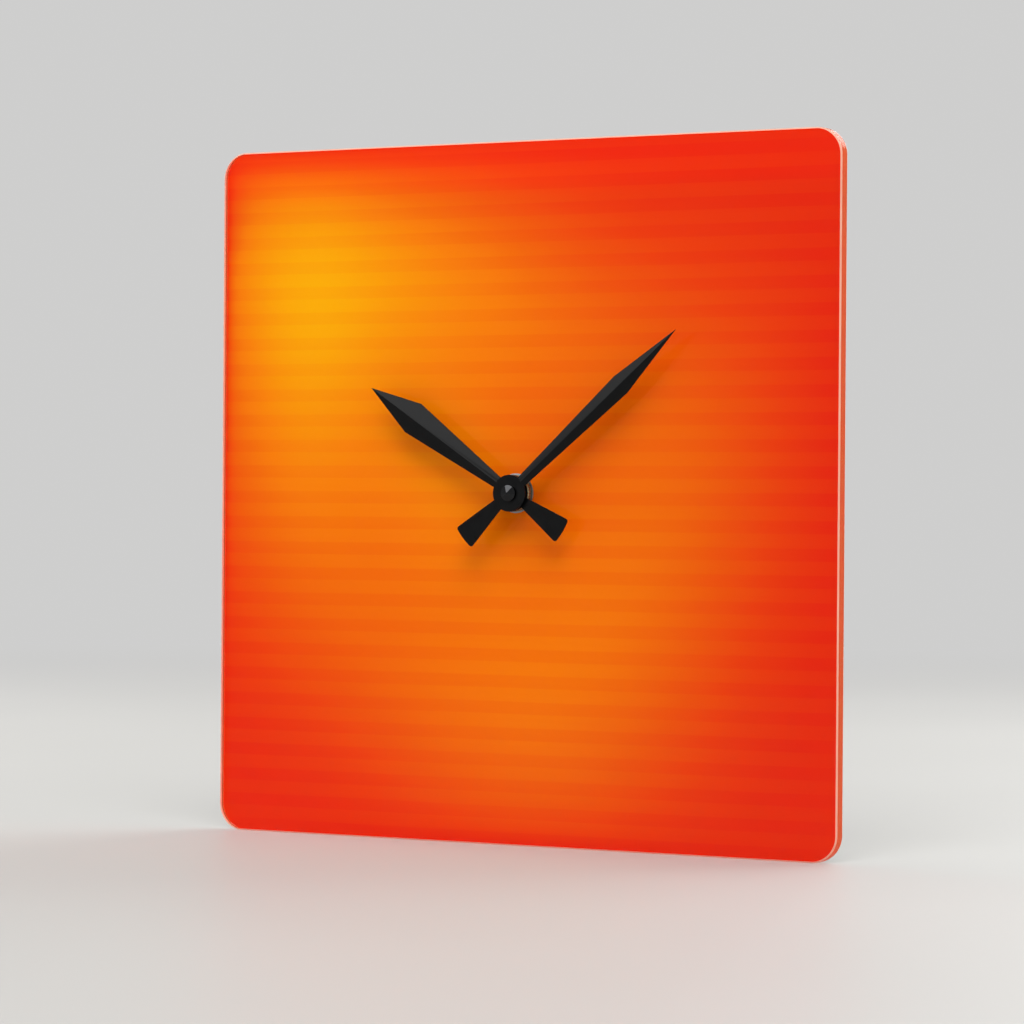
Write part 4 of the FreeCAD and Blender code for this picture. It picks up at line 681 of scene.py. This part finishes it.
# -----------------------------------------------------------------------------
# The hanger: a strip of zinc plated steel, pressed to a keyhole tab above the movement
# and held on the neck. The strip's rolling marks run along it, its edges are deburred.
# -----------------------------------------------------------------------------

ZINC_SPANGLE = (1.6, 1.6, 1.6)
ZINC_GREY = (0.56, 0.58, 0.60, 1.0)
ZINC_HANDLED = (0.72, 0.73, 0.72, 1.0)
ZINC_YELLOWED = (0.66, 0.66, 0.60, 1.0)
# Painted reflection: a dark teal that stands in for dark surroundings mirrored in the zinc.
ZINC_PAINTED_DARK = (0.16, 0.22, 0.26, 1.0)


def zinc_plate(name, stretch, dull=0.0):
    """Zinc over rolled steel, with grain lines along stretch. dull darkens it towards dark teal,
    a painted reflection of dark surroundings.
    """
    nodes = finish(name)
    rolled = nodes.grain(0.10, detail=3.0, stretch=stretch)
    spangle = nodes.vector("DIVIDE", nodes.where(), ZINC_SPANGLE)
    crystals = nodes.add("ShaderNodeTexVoronoi", None, {"Vector": spangle, "Scale": 1.0})
    handling = nodes.grain(6.0, detail=4.0)
    tone = nodes.blend(ZINC_GREY, ZINC_HANDLED, handling)
    tone = nodes.blend(tone, ZINC_YELLOWED, 0.35 * crystals)
    # Painted reflection: dull blends in the dark teal.
    tone = nodes.blend(tone, ZINC_PAINTED_DARK, dull * (0.85 + 0.15 * handling))
    return nodes.surface(
        Base_Color=tone,
        Metallic=1.0,
        Roughness=0.26 + 0.16 * rolled + 0.10 * handling,
        Normal=nodes.bump(rolled, 0.006),
    )


rolled_zinc = zinc_plate("rolled_zinc", stretch=(1, 1, 40))
hanger = eased("hanger_plate", "hanger_pressing", rolled_zinc, edge=0.18)
fit(hanger, "hanger_plate")


# -----------------------------------------------------------------------------
# Neck, washer and nut: the neck is a threaded brass tube moulded into the case. A plain
# steel washer and a turned brass nut with a straight knurl clamp the panel on it.
# -----------------------------------------------------------------------------

BRASS_BRIGHT = (0.38, 0.32, 0.18, 1.0)
BRASS_TARNISHED = (0.26, 0.22, 0.12, 1.0)


def lathe_rings(nodes, mark):
    """Rings of tool marks about the hands' axis, mark millimetres apart."""
    x, y, z = nodes.parts(nodes.where())
    radius = (x * x + z * z) ** 0.5
    return nodes.noise(nodes.add("ShaderNodeCombineXYZ", None, {0: radius / mark, 1: y / mark}))


def turned_brass(name, mark):
    nodes = finish(name)
    rings = lathe_rings(nodes, mark)
    tarnish = nodes.grain(1.6, detail=3.0)
    return nodes.surface(
        Base_Color=nodes.blend(BRASS_BRIGHT, BRASS_TARNISHED, tarnish),
        Metallic=1.0,
        Roughness=0.30 + 0.14 * rings + 0.10 * tarnish,
        Normal=nodes.bump(rings, 0.005),
    )


neck = eased("threaded_neck", "threaded_tube", turned_brass("tube_brass", mark=0.08), edge=0.04)
fit(neck, "threaded_neck")
# Painted reflection: the washer is dulled to dark teal, standing in for dark surroundings
# mirrored in it.
washer_zinc = zinc_plate("washer_zinc", stretch=(12, 1, 1), dull=0.75)
washer = eased("flat_washer", "plain_washer", washer_zinc, edge=0.06)
fit(washer, "flat_washer")
nut_brass = turned_brass("nut_brass", mark=0.06)
nut = eased("centre_nut", "knurled_nut", nut_brass, edge=0.05, corner=35)
fit(nut, "centre_nut")


# -----------------------------------------------------------------------------
# The movement's case: two mouldings in black ABS with a fine spark texture, the open front
# case with its battery bay, and the rear cover that snaps in. The cover has the moulded
# marks of its kind: plus and minus at the cell's ends and two arrows round the knob.
# -----------------------------------------------------------------------------

MARK_DEPTH = 0.25 * MM
MARK_WIDTH = 0.7 * MM
TOOL_CLEARANCE = 0.5 * MM
SIGN_REACH = 1.7 * MM
SIGN_FROM_SIDE = 4.5 * MM
SIGN_FROM_FOOT = 2.6 * MM
ARROW_RADIUS = 8.2 * MM
ARROW_SWEEP = (20, 70)
ARROW_STEPS = 12
ARROW_HEAD = 1.4 * MM
ARROW_HEAD_HALF = 0.8 * ARROW_HEAD
PIN_MARK = 1.6 * MM
PIN_MARK_DEPTH = 0.12 * MM
PIN_MARK_PLACE = 0.80
PIN_MARK_STEPS = 32
ABS_BLACK = (0.016, 0.016, 0.017, 1.0)
ABS_FLOW = (0.027, 0.027, 0.029, 1.0)


def cutter(name, outlines, deep):
    """A tool that engraves flat (x, z) outlines into the cover's outer face."""
    work = bmesh.new()
    for outline in outlines:
        outer = [work.verts.new((x, TOOL_CLEARANCE, z)) for x, z in outline]
        inner = [work.verts.new((x, -deep, z)) for x, z in outline]
        work.faces.new(outer)
        work.faces.new(inner)
        for index, corner in enumerate(outer):
            following = (index + 1) % len(outer)
            work.faces.new((corner, outer[following], inner[following], inner[index]))
    return piece_from(name, work)


def plus_sign(x, z):
    half = MARK_WIDTH / 2
    points = []
    for turn in QUARTER_TURNS:
        c, s = math.cos(turn), math.sin(turn)
        for a, b in ((half, half), (half, SIGN_REACH), (-half, SIGN_REACH)):
            points.append((x + c * a - s * b, z + s * a + c * b))
    return points


def minus_sign(x, z):
    half = MARK_WIDTH / 2
    sides = ((-SIGN_REACH, -half), (SIGN_REACH, -half), (SIGN_REACH, half), (-SIGN_REACH, half))
    return [(x + a, z + b) for a, b in sides]


def pin_mark(x, z):
    """The round witness of one of the mould's ejector pins."""
    angles = [2 * math.pi * step / PIN_MARK_STEPS for step in range(PIN_MARK_STEPS)]
    return [(x + PIN_MARK * math.cos(a), z + PIN_MARK * math.sin(a)) for a in angles]


def turning_arrow(x, z, start, end):
    """An arc about (x, z) from start to end degrees, with a pointed head at its end."""
    steps = range(ARROW_STEPS + 1)
    angles = [math.radians(start + (end - start) * step / ARROW_STEPS) for step in steps]

    def at(reach, angle):
        return (x + reach * math.cos(angle), z + reach * math.sin(angle))

    last = angles[-1]
    forward = math.copysign(ARROW_HEAD / ARROW_RADIUS, end - start)
    return [
        *(at(ARROW_RADIUS + MARK_WIDTH / 2, angle) for angle in angles),
        at(ARROW_RADIUS + ARROW_HEAD_HALF, last),
        at(ARROW_RADIUS, last + forward),
        at(ARROW_RADIUS - ARROW_HEAD_HALF, last),
        *(at(ARROW_RADIUS - MARK_WIDTH / 2, angle) for angle in reversed(angles)),
    ]


def black_abs():
    """Black ABS: spark texture from the mould, faint flow clouds and handling shine."""
    nodes = finish("case_abs")
    sparks = nodes.grain(0.14)
    pits = nodes.grain(0.45, detail=1.0)
    flow = nodes.grain(16.0, stretch=(1, 1, 2))
    return nodes.surface(
        Base_Color=nodes.blend(ABS_BLACK, ABS_FLOW, flow),
        Roughness=0.38 + 0.12 * sparks + 0.08 * flow,
        Specular_IOR_Level=0.45,
        Normal=nodes.bump(sparks + 0.5 * pits, 0.018),
    )


def middle_of(node):
    low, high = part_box(node)
    return (low + high) / 2


case_abs = black_abs()
cover_low, cover_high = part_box("rear_cover")
knob_middle = middle_of("setting_knob")
sign_z = cover_low.z + SIGN_FROM_FOOT
sweep_start, sweep_end = ARROW_SWEEP
signs_and_arrows = [
    plus_sign(cover_high.x - SIGN_FROM_SIDE, sign_z),
    minus_sign(cover_low.x + SIGN_FROM_SIDE, sign_z),
    turning_arrow(knob_middle.x, knob_middle.z, sweep_start, sweep_end),
    turning_arrow(knob_middle.x, knob_middle.z, 180 - sweep_start, 180 - sweep_end),
]
marks = cutter("cover_marks", signs_and_arrows, MARK_DEPTH)
pin_z = cover_high.z * PIN_MARK_PLACE
pin_discs = [pin_mark(side.x * PIN_MARK_PLACE, pin_z) for side in (cover_high, cover_low)]
pin_marks = cutter("cover_pin_marks", pin_discs, PIN_MARK_DEPTH)
cover = eased("rear_cover", "snap_cover", case_abs, edge=0.15, cut_by=(marks, pin_marks))
fit(cover, "rear_cover")
case = eased("front_case", "case_moulding", case_abs, edge=0.20)
fit(case, "front_case")


# -----------------------------------------------------------------------------
# The setting knob and the middle plate: the knob is a smooth black moulding pressed on its
# shaft, the plate a grey one that carries the wheels' rear pivots on four posts.
# -----------------------------------------------------------------------------

KNOB_BLACK = (0.030, 0.030, 0.033, 1.0)
KNOB_FLOW = (0.050, 0.050, 0.054, 1.0)
PLATE_GREY = (0.15, 0.155, 0.16, 1.0)
PLATE_FLOW = (0.19, 0.195, 0.20, 1.0)


def smooth_moulding(name, dark, light, rough):
    """A plain moulded plastic from a polished tool, with faint flow and dust."""
    nodes = finish(name)
    flow = nodes.grain(5.0, detail=3.0)
    skin_grain = nodes.grain(0.2)
    return nodes.surface(
        Base_Color=nodes.blend(dark, light, flow),
        Roughness=rough + 0.08 * flow + 0.05 * skin_grain,
        Normal=nodes.bump(skin_grain, 0.004),
    )


knob_abs = smooth_moulding("knob_abs", KNOB_BLACK, KNOB_FLOW, rough=0.28)
knob = eased("setting_knob", "setting_knob_moulding", knob_abs, edge=0.18)
fit(knob, "setting_knob", "setting_set")
plate_abs = smooth_moulding("plate_abs", PLATE_GREY, PLATE_FLOW, rough=0.42)
plate = eased("middle_plate", "bearing_plate", plate_abs, edge=0.08)
fit(plate, "middle_plate")


# -----------------------------------------------------------------------------
# The wheels: moulded in natural acetal, slightly translucent, with a waxy sheen and the
# fine rings that the turned mould leaves on their webs.
# -----------------------------------------------------------------------------

MOULD_RING = 0.07
ACETAL_DARK = shown(234, 231, 220)
ACETAL_LIGHT = shown(246, 244, 236)
WHEELS = (
    "hour_wheel",
    "motion_wheel",
    "setting_pinion",
    "centre_wheel",
    "third_wheel",
    "seconds_wheel",
    "intermediate_wheel",
    "rotor_pinion",
)


def line_grain(nodes, place):
    """Noise from 0 to 1 along one line, with one patch for each unit of place."""
    settings = {"noise_dimensions": "1D"}
    return nodes.add("ShaderNodeTexNoise", settings, {"W": place, "Scale": 1.0})


def natural_acetal(name, centre):
    nodes = finish(name)
    x, _, z = nodes.parts(nodes.where(centre))
    rings = line_grain(nodes, (x * x + z * z) ** 0.5 / MOULD_RING)
    cloud = nodes.grain(1.5)
    return nodes.surface(
        Base_Color=nodes.blend(ACETAL_DARK, ACETAL_LIGHT, cloud),
        Roughness=0.32 + 0.12 * cloud + 0.06 * rings,
        Subsurface_Weight=0.15,
        Subsurface_Scale=0.0005,
        Subsurface_Radius=(1.0, 0.9, 0.7),
        Normal=nodes.bump(rings, 0.004),
    )


for wheel in WHEELS:
    wear(wheel, natural_acetal(f"{wheel}_acetal", middle_of(wheel)))


# -----------------------------------------------------------------------------
# Arbor and clutch spring: the minute arbor is turned from free-cutting steel, the spring
# ring behind its collar is thin hardened strip with the blue-grey of its tempering.
# -----------------------------------------------------------------------------

ARBOR_MARK = 0.05
ARBOR_BRIGHT = (0.66, 0.66, 0.67, 1.0)
ARBOR_OILY = (0.54, 0.54, 0.54, 1.0)
SPRING_BLUE = (0.52, 0.55, 0.60, 1.0)
SPRING_OILY = (0.42, 0.44, 0.50, 1.0)


def turned_steel(name, clean, oily, rough):
    nodes = finish(name)
    rings = lathe_rings(nodes, ARBOR_MARK)
    oil = nodes.grain(1.2, detail=3.0)
    return nodes.surface(
        Base_Color=nodes.blend(clean, oily, oil),
        Metallic=1.0,
        Roughness=rough + 0.12 * rings + 0.06 * oil,
        Normal=nodes.bump(rings, 0.003),
    )


wear("minute_arbor", turned_steel("arbor_steel", ARBOR_BRIGHT, ARBOR_OILY, rough=0.18))
wear("friction_spring", turned_steel("spring_steel", SPRING_BLUE, SPRING_OILY, rough=0.22))


# -----------------------------------------------------------------------------
# The motor: a ground ferrite magnet on the rotor, a stator and core stamped from soft iron,
# and a coil of enamelled copper wire wound in even turns on a cream bobbin.
# -----------------------------------------------------------------------------

WIRE = 0.13 * MM
# A turn's profile: its share of the wire's width along, and its lift in widths.
WIRE_PROFILE = ((0.0, -0.45), (0.25, -0.10), (0.5, 0.0), (0.75, -0.10))
WINDING_SIDES = 40
FERRITE_GREY = (0.045, 0.045, 0.050, 1.0)
FERRITE_SPECK = (0.110, 0.110, 0.115, 1.0)
IRON_BRIGHT = (0.44, 0.44, 0.45, 1.0)
IRON_OXIDE = (0.33, 0.31, 0.29, 1.0)
COPPER_DARK = (0.62, 0.25, 0.10, 1.0)
COPPER_LIGHT = (0.82, 0.40, 0.20, 1.0)
BOBBIN_DARK = (0.60, 0.58, 0.50, 1.0)
BOBBIN_LIGHT = (0.68, 0.66, 0.58, 1.0)


def ground_ferrite():
    nodes = finish("ground_ferrite")
    chips = nodes.add("ShaderNodeTexVoronoi", None, {"Vector": nodes.where(), "Scale": 6.0})
    speck = nodes.grain(0.10, detail=3.0)
    return nodes.surface(
        Base_Color=nodes.blend(FERRITE_GREY, FERRITE_SPECK, speck),
        Metallic=0.6,
        Roughness=0.42 + 0.2 * speck,
        Normal=nodes.bump(chips + speck, 0.01),
    )


def stamped_iron():
    nodes = finish("stamped_soft_iron")
    rolled = nodes.grain(0.12, detail=3.0, stretch=(40, 1, 1))
    oxide = nodes.grain(2.5, detail=4.0)
    return nodes.surface(
        Base_Color=nodes.blend(IRON_BRIGHT, IRON_OXIDE, oxide),
        Metallic=1.0,
        Roughness=0.30 + 0.15 * rolled + 0.1 * oxide,
        Normal=nodes.bump(rolled, 0.005),
    )


def enamelled_copper(centre):
    nodes = finish("enamelled_copper")
    varnish = nodes.grain(0.9, detail=3.0)
    along, _, _ = nodes.parts(nodes.where(centre))
    turn = line_grain(nodes, along * (MM / WIRE))
    return nodes.surface(
        Base_Color=nodes.blend(COPPER_DARK, COPPER_LIGHT, 0.5 * varnish + 0.5 * turn),
        Metallic=1.0,
        Roughness=0.22 + 0.12 * varnish,
        Coat_Weight=0.6,
    )


def ring_about_x(middle, x, radius, sides):
    """A circle of points, with its centre on the line along x through middle."""
    angles = [2 * math.pi * side / sides for side in range(sides)]
    around = [(radius * math.cos(angle), radius * math.sin(angle)) for angle in angles]
    return [Vector((x, middle.y + y, middle.z + z)) for y, z in around]


wear("rotor_magnet", ground_ferrite())
iron = stamped_iron()
stator = eased("stator_plate", "stator_stamping", iron, edge=0.05)
fit(stator, "stator_plate")
core = eased("coil_core", "core_stamping", iron, edge=0.08)
fit(core, "coil_core")
bobbin_plastic = smooth_moulding("bobbin_plastic", BOBBIN_DARK, BOBBIN_LIGHT, rough=0.38)
bobbin = eased("coil_bobbin", "bobbin_moulding", bobbin_plastic, edge=0.07)
fit(bobbin, "coil_bobbin")

coil_low, coil_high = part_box("coil_winding")
coil_middle = middle_of("coil_winding")
coil_radius = (coil_high.z - coil_low.z) / 2
turns = round((coil_high.x - coil_low.x) / WIRE)
winding_rings = []
for turn_index in range(turns + 1):
    for share, lift in WIRE_PROFILE:
        x = coil_low.x + (turn_index + share) * WIRE
        if x > coil_high.x:
            break
        radius = coil_radius + lift * WIRE
        winding_rings.append(ring_about_x(coil_middle, x, radius, WINDING_SIDES))
copper = enamelled_copper(coil_middle)
winding = skin("wire_winding", winding_rings, [(copper, 0)], closed=False, smooth_below=75)
fit(winding, "coil_winding")


# -----------------------------------------------------------------------------
# The electronics: a brown laminate board with copper tracks under its lacquer, the timing
# chip under a drop of black resin, and the quartz crystal in its drawn metal can.
# -----------------------------------------------------------------------------

TRACK_PITCH = 2.4
TRACK_EDGE = (0.14, 0.17)
TRACK_END = (5.6, 5.8)
PAPER_DARK = (0.20, 0.10, 0.035, 1.0)
PAPER_LIGHT = (0.30, 0.16, 0.06, 1.0)
TRACK_COPPER = (0.42, 0.22, 0.08, 1.0)
RESIN_BLACK = (0.008, 0.008, 0.009, 1.0)
RESIN_SWIRL = (0.018, 0.018, 0.018, 1.0)
CAN_BRIGHT = (0.74, 0.75, 0.77, 1.0)
CAN_CLOUD = (0.64, 0.65, 0.66, 1.0)


def brown_laminate(centre):
    nodes = finish("brown_laminate")
    x, _, z = nodes.parts(nodes.where(centre))
    run = nodes.math("FRACT", z / TRACK_PITCH)
    track = 1 - nodes.ease(nodes.math("ABSOLUTE", run - 0.5), *TRACK_EDGE)
    copper = track * (1 - nodes.ease(nodes.math("ABSOLUTE", x), *TRACK_END))
    fibres = nodes.grain(0.35, detail=3.0, stretch=(6, 1, 1))
    paper = nodes.blend(PAPER_DARK, PAPER_LIGHT, fibres)
    return nodes.surface(
        Base_Color=nodes.blend(paper, TRACK_COPPER, copper),
        Metallic=0.5 * copper,
        Roughness=0.45 - 0.12 * copper + 0.1 * fibres,
        Normal=nodes.bump(copper + 0.1 * fibres, 0.04),
    )


def resin_drop():
    nodes = finish("cast_black_resin")
    swirl = nodes.grain(1.2, detail=3.0)
    return nodes.surface(
        Base_Color=nodes.blend(RESIN_BLACK, RESIN_SWIRL, swirl),
        Roughness=0.10 + 0.12 * swirl,
        Normal=nodes.bump(swirl, 0.03),
    )


def drawn_can():
    nodes = finish("drawn_can_metal")
    drawn = nodes.grain(0.06, stretch=(30, 1, 1))
    return nodes.surface(
        Base_Color=nodes.blend(CAN_BRIGHT, CAN_CLOUD, nodes.grain(0.8, detail=3.0)),
        Metallic=1.0,
        Roughness=0.14 + 0.14 * drawn,
        Normal=nodes.bump(drawn, 0.003),
    )


laminate = brown_laminate(middle_of("circuit_board"))
board = eased("circuit_board", "laminate_board", laminate, edge=0.06)
fit(board, "circuit_board")
wear("timing_chip", resin_drop())
wear("quartz_crystal", drawn_can())


# -----------------------------------------------------------------------------
# The contacts: bright nickel plated spring strip, folded up at each end of the bay, with
# the shine rubbed by the cell and the grain of the rolled strip.
# -----------------------------------------------------------------------------

NICKEL_DULL = (0.62, 0.60, 0.55, 1.0)
NICKEL_RUBBED = (0.76, 0.75, 0.72, 1.0)
RUB_RISE = (0.45, 0.65)


def nickel_strip():
    nodes = finish("nickel_strip")
    rolled = nodes.grain(0.09, detail=3.0, stretch=(1, 1, 30))
    rubbed = nodes.ease(nodes.grain(2.2, detail=3.0), *RUB_RISE)
    return nodes.surface(
        Base_Color=nodes.blend(NICKEL_DULL, NICKEL_RUBBED, rubbed),
        Metallic=1.0,
        Roughness=0.30 - 0.10 * rubbed + 0.12 * rolled,
        Normal=nodes.bump(rolled, 0.004),
    )


nickel = nickel_strip()
plus_contact = eased("positive_contact", "plus_contact_strip", nickel, edge=0.08)
fit(plus_contact, "positive_contact")
minus_contact = eased("negative_contact", "minus_contact_strip", nickel, edge=0.08)
fit(minus_contact, "negative_contact")


# -----------------------------------------------------------------------------
# The cell: an AA cell in a plain printed sleeve, graphite with a silver band at its plus
# end, shrunk over both shoulders. The ends show the nickel plated can and its button.
# -----------------------------------------------------------------------------

CELL_SIDES = 64
BUTTON_RADIUS = 2.7 * MM
BUTTON_LENGTH = 1.0 * MM
# Profiles in millimetres. The can's flat minus end: in from that end, and radius.
MINUS_CAN = ((0.00, 4.6), (0.00, 5.2), (0.15, 5.5), (0.35, 5.6))
# The sleeve's two rims: in from the minus end or from the shoulder, and below full radius.
MINUS_RIM = ((0.35, 0.90), (0.25, 0.80), (0.30, 0.35), (0.60, 0.08), (1.00, 0.00))
PLUS_RIM = ((1.10, 0.00), (0.60, 0.10), (0.30, 0.45), (0.22, 0.95), (0.34, 1.00))
# The button: in from the shoulder for its foot, from its tip for its top, and over its radius.
BUTTON_FOOT = ((0.34, 0.35), (0.20, 0.08))
BUTTON_TOP = ((0.35, 0.00), (0.10, -0.08), (0.00, -0.35))
SILVER_WIDTH = 11.0
PRINT_EDGE = 0.06
# The thin line's start and end, back from the silver band.
PRINT_LINE = (1.6, 0.8)
SIGN_HALF = (1.8, 0.45)
SIGN_EDGE = 0.05
SIGN_SIDE = (2.0, 2.2)
PLUS_FORWARD = 0.45 * SILVER_WIDTH
MINUS_BACK = 32.0
HAIR_RISE = (0.62, 0.75)
GRAPHITE_DARK = (0.040, 0.044, 0.050, 1.0)
GRAPHITE_LIGHT = (0.060, 0.064, 0.070, 1.0)
SILVER = (0.62, 0.63, 0.64, 1.0)
PLUS_INK = (0.045, 0.048, 0.055, 1.0)
CAN_RING = 0.08
CELL_NICKEL = (0.70, 0.70, 0.69, 1.0)
CELL_NICKEL_CLOUD = (0.58, 0.57, 0.55, 1.0)
cell_low, cell_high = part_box("aa_battery")
cell_middle = middle_of("aa_battery")
cell_radius = (cell_high.z - cell_low.z) / 2
shoulder_x = cell_high.x - BUTTON_LENGTH


def printed_sleeve():
    nodes = finish("printed_sleeve")
    x, y, z = nodes.parts(nodes.where(cell_middle))
    silver_start = (shoulder_x - cell_middle.x) / MM - SILVER_WIDTH
    silver = nodes.ease(x, silver_start, silver_start + PRINT_EDGE)
    line_start, line_end = (silver_start - back for back in PRINT_LINE)
    line = nodes.ease(x, line_start, line_start + PRINT_EDGE)
    line = line * (1 - nodes.ease(x, line_end, line_end + PRINT_EDGE))
    facing = nodes.ease(y, *SIGN_SIDE)

    def bar(along, across):
        share = facing
        for place, half in zip((along, across), SIGN_HALF):
            outside = nodes.ease(nodes.math("ABSOLUTE", place), half, half + SIGN_EDGE)
            share = share * (1 - outside)
        return share

    plus_at = x - (silver_start + PLUS_FORWARD)
    minus_at = x - (silver_start - MINUS_BACK)
    plus = nodes.math("MAXIMUM", bar(plus_at, z), bar(z, plus_at))
    minus = bar(z, minus_at)
    scuff = nodes.grain(4.0, detail=4.0, stretch=(3, 1, 1))
    hairs = nodes.ease(nodes.grain(0.25, stretch=(12, 1, 1)), *HAIR_RISE)
    tone = nodes.blend(GRAPHITE_DARK, GRAPHITE_LIGHT, scuff)
    tone = nodes.blend(tone, SILVER, silver)
    tone = nodes.blend(tone, SILVER, nodes.math("MAXIMUM", line, minus))
    tone = nodes.blend(tone, PLUS_INK, plus)
    return nodes.surface(
        Base_Color=tone,
        Metallic=0.55 + 0.25 * silver,
        Roughness=0.26 + 0.10 * scuff + 0.12 * hairs,
        Coat_Weight=0.4 - 0.2 * hairs,
        Normal=nodes.bump(scuff, 0.02),
    )


def can_end():
    nodes = finish("cell_can_nickel")
    _, y, z = nodes.parts(nodes.where(cell_middle))
    spun = line_grain(nodes, (y * y + z * z) ** 0.5 / CAN_RING)
    return nodes.surface(
        Base_Color=nodes.blend(CELL_NICKEL, CELL_NICKEL_CLOUD, nodes.grain(1.4, detail=3.0)),
        Metallic=1.0,
        Roughness=0.20 + 0.14 * spun,
        Normal=nodes.bump(spun, 0.004),
    )


profile = [(cell_low.x + x * MM, radius * MM) for x, radius in MINUS_CAN]
profile += [(cell_low.x + x * MM, cell_radius - drop * MM) for x, drop in MINUS_RIM]
profile += [(shoulder_x - x * MM, cell_radius - drop * MM) for x, drop in PLUS_RIM]
profile += [(shoulder_x - x * MM, BUTTON_RADIUS + over * MM) for x, over in BUTTON_FOOT]
profile += [(cell_high.x - x * MM, BUTTON_RADIUS + over * MM) for x, over in BUTTON_TOP]
cell_rings = [ring_about_x(cell_middle, x, radius, CELL_SIDES) for x, radius in profile]
sleeve_start = len(MINUS_CAN) + 1
sleeve_end = len(MINUS_CAN) + len(MINUS_RIM) + len(PLUS_RIM) - 2
nickel_can = can_end()
cell_finishes = [(nickel_can, 0), (printed_sleeve(), sleeve_start), (nickel_can, sleeve_end)]
cell = skin("aa_cell", cell_rings, cell_finishes, closed=False, smooth_below=40)
fit(cell, "aa_battery", "battery")


# -----------------------------------------------------------------------------
# The hands: stamped from thin sheet, folded along a straight crease so that each blade has
# two facets, and lacquered satin black. A turned black nickel cap nut holds them on.
# -----------------------------------------------------------------------------

HOUR_ANGLE = 303.0
MINUTE_ANGLE = 49.0
BRUSH_WIDTH = 0.10
BRUSH_LENGTH = 4.0
LACQUER_BLACK = (0.0016, 0.0017, 0.0019, 1.0)
LACQUER_CLOUD = (0.0052, 0.0053, 0.0057, 1.0)
CAP_MARK = 0.07
CAP_BLACK = (0.018, 0.018, 0.019, 1.0)
CAP_CLOUD = (0.028, 0.028, 0.029, 1.0)


def satin_lacquer(name, clock_angle):
    """Black lacquer on sheet that was brushed along the hand before it was painted."""
    nodes = finish(name)
    x, y, z = nodes.parts(nodes.where())
    turn = math.radians(clock_angle)
    along = x * math.sin(turn) + z * math.cos(turn)
    across = x * math.cos(turn) - z * math.sin(turn)
    strokes = {0: across / BRUSH_WIDTH, 1: y, 2: along / BRUSH_LENGTH}
    lines = nodes.noise(nodes.add("ShaderNodeCombineXYZ", None, strokes))
    cloud = nodes.grain(3.5, detail=3.0)
    peel = nodes.grain(0.35, detail=1.0)
    return nodes.surface(
        Base_Color=nodes.blend(LACQUER_BLACK, LACQUER_CLOUD, cloud),
        Roughness=0.22 + 0.10 * cloud + 0.05 * lines,
        Specular_IOR_Level=0.09,
        Normal=nodes.bump(peel + 0.4 * lines, 0.003),
    )


hour_lacquer = satin_lacquer("hour_lacquer", HOUR_ANGLE)
hour_hand = eased("hour_hand", "hour_hand_blade", hour_lacquer, edge=0.06, corner=14)
fit(hour_hand, "hour_hand", "hour_set")
minute_lacquer = satin_lacquer("minute_lacquer", MINUTE_ANGLE)
minute_hand = eased("minute_hand", "minute_hand_blade", minute_lacquer, edge=0.06, corner=14)
fit(minute_hand, "minute_hand", "minute_set")


def black_nickel():
    nodes = finish("black_nickel_plate")
    rings = lathe_rings(nodes, CAP_MARK)
    return nodes.surface(
        Base_Color=nodes.blend(CAP_BLACK, CAP_CLOUD, nodes.grain(0.8, detail=3.0)),
        Metallic=1.0,
        Roughness=0.06 + 0.04 * rings,
        Normal=nodes.bump(rings, 0.002),
    )


cap = eased("hand_cap_nut", "cap_nut_turning", black_nickel(), edge=0.06, corner=15)
fit(cap, "hand_cap_nut", "minute_set")
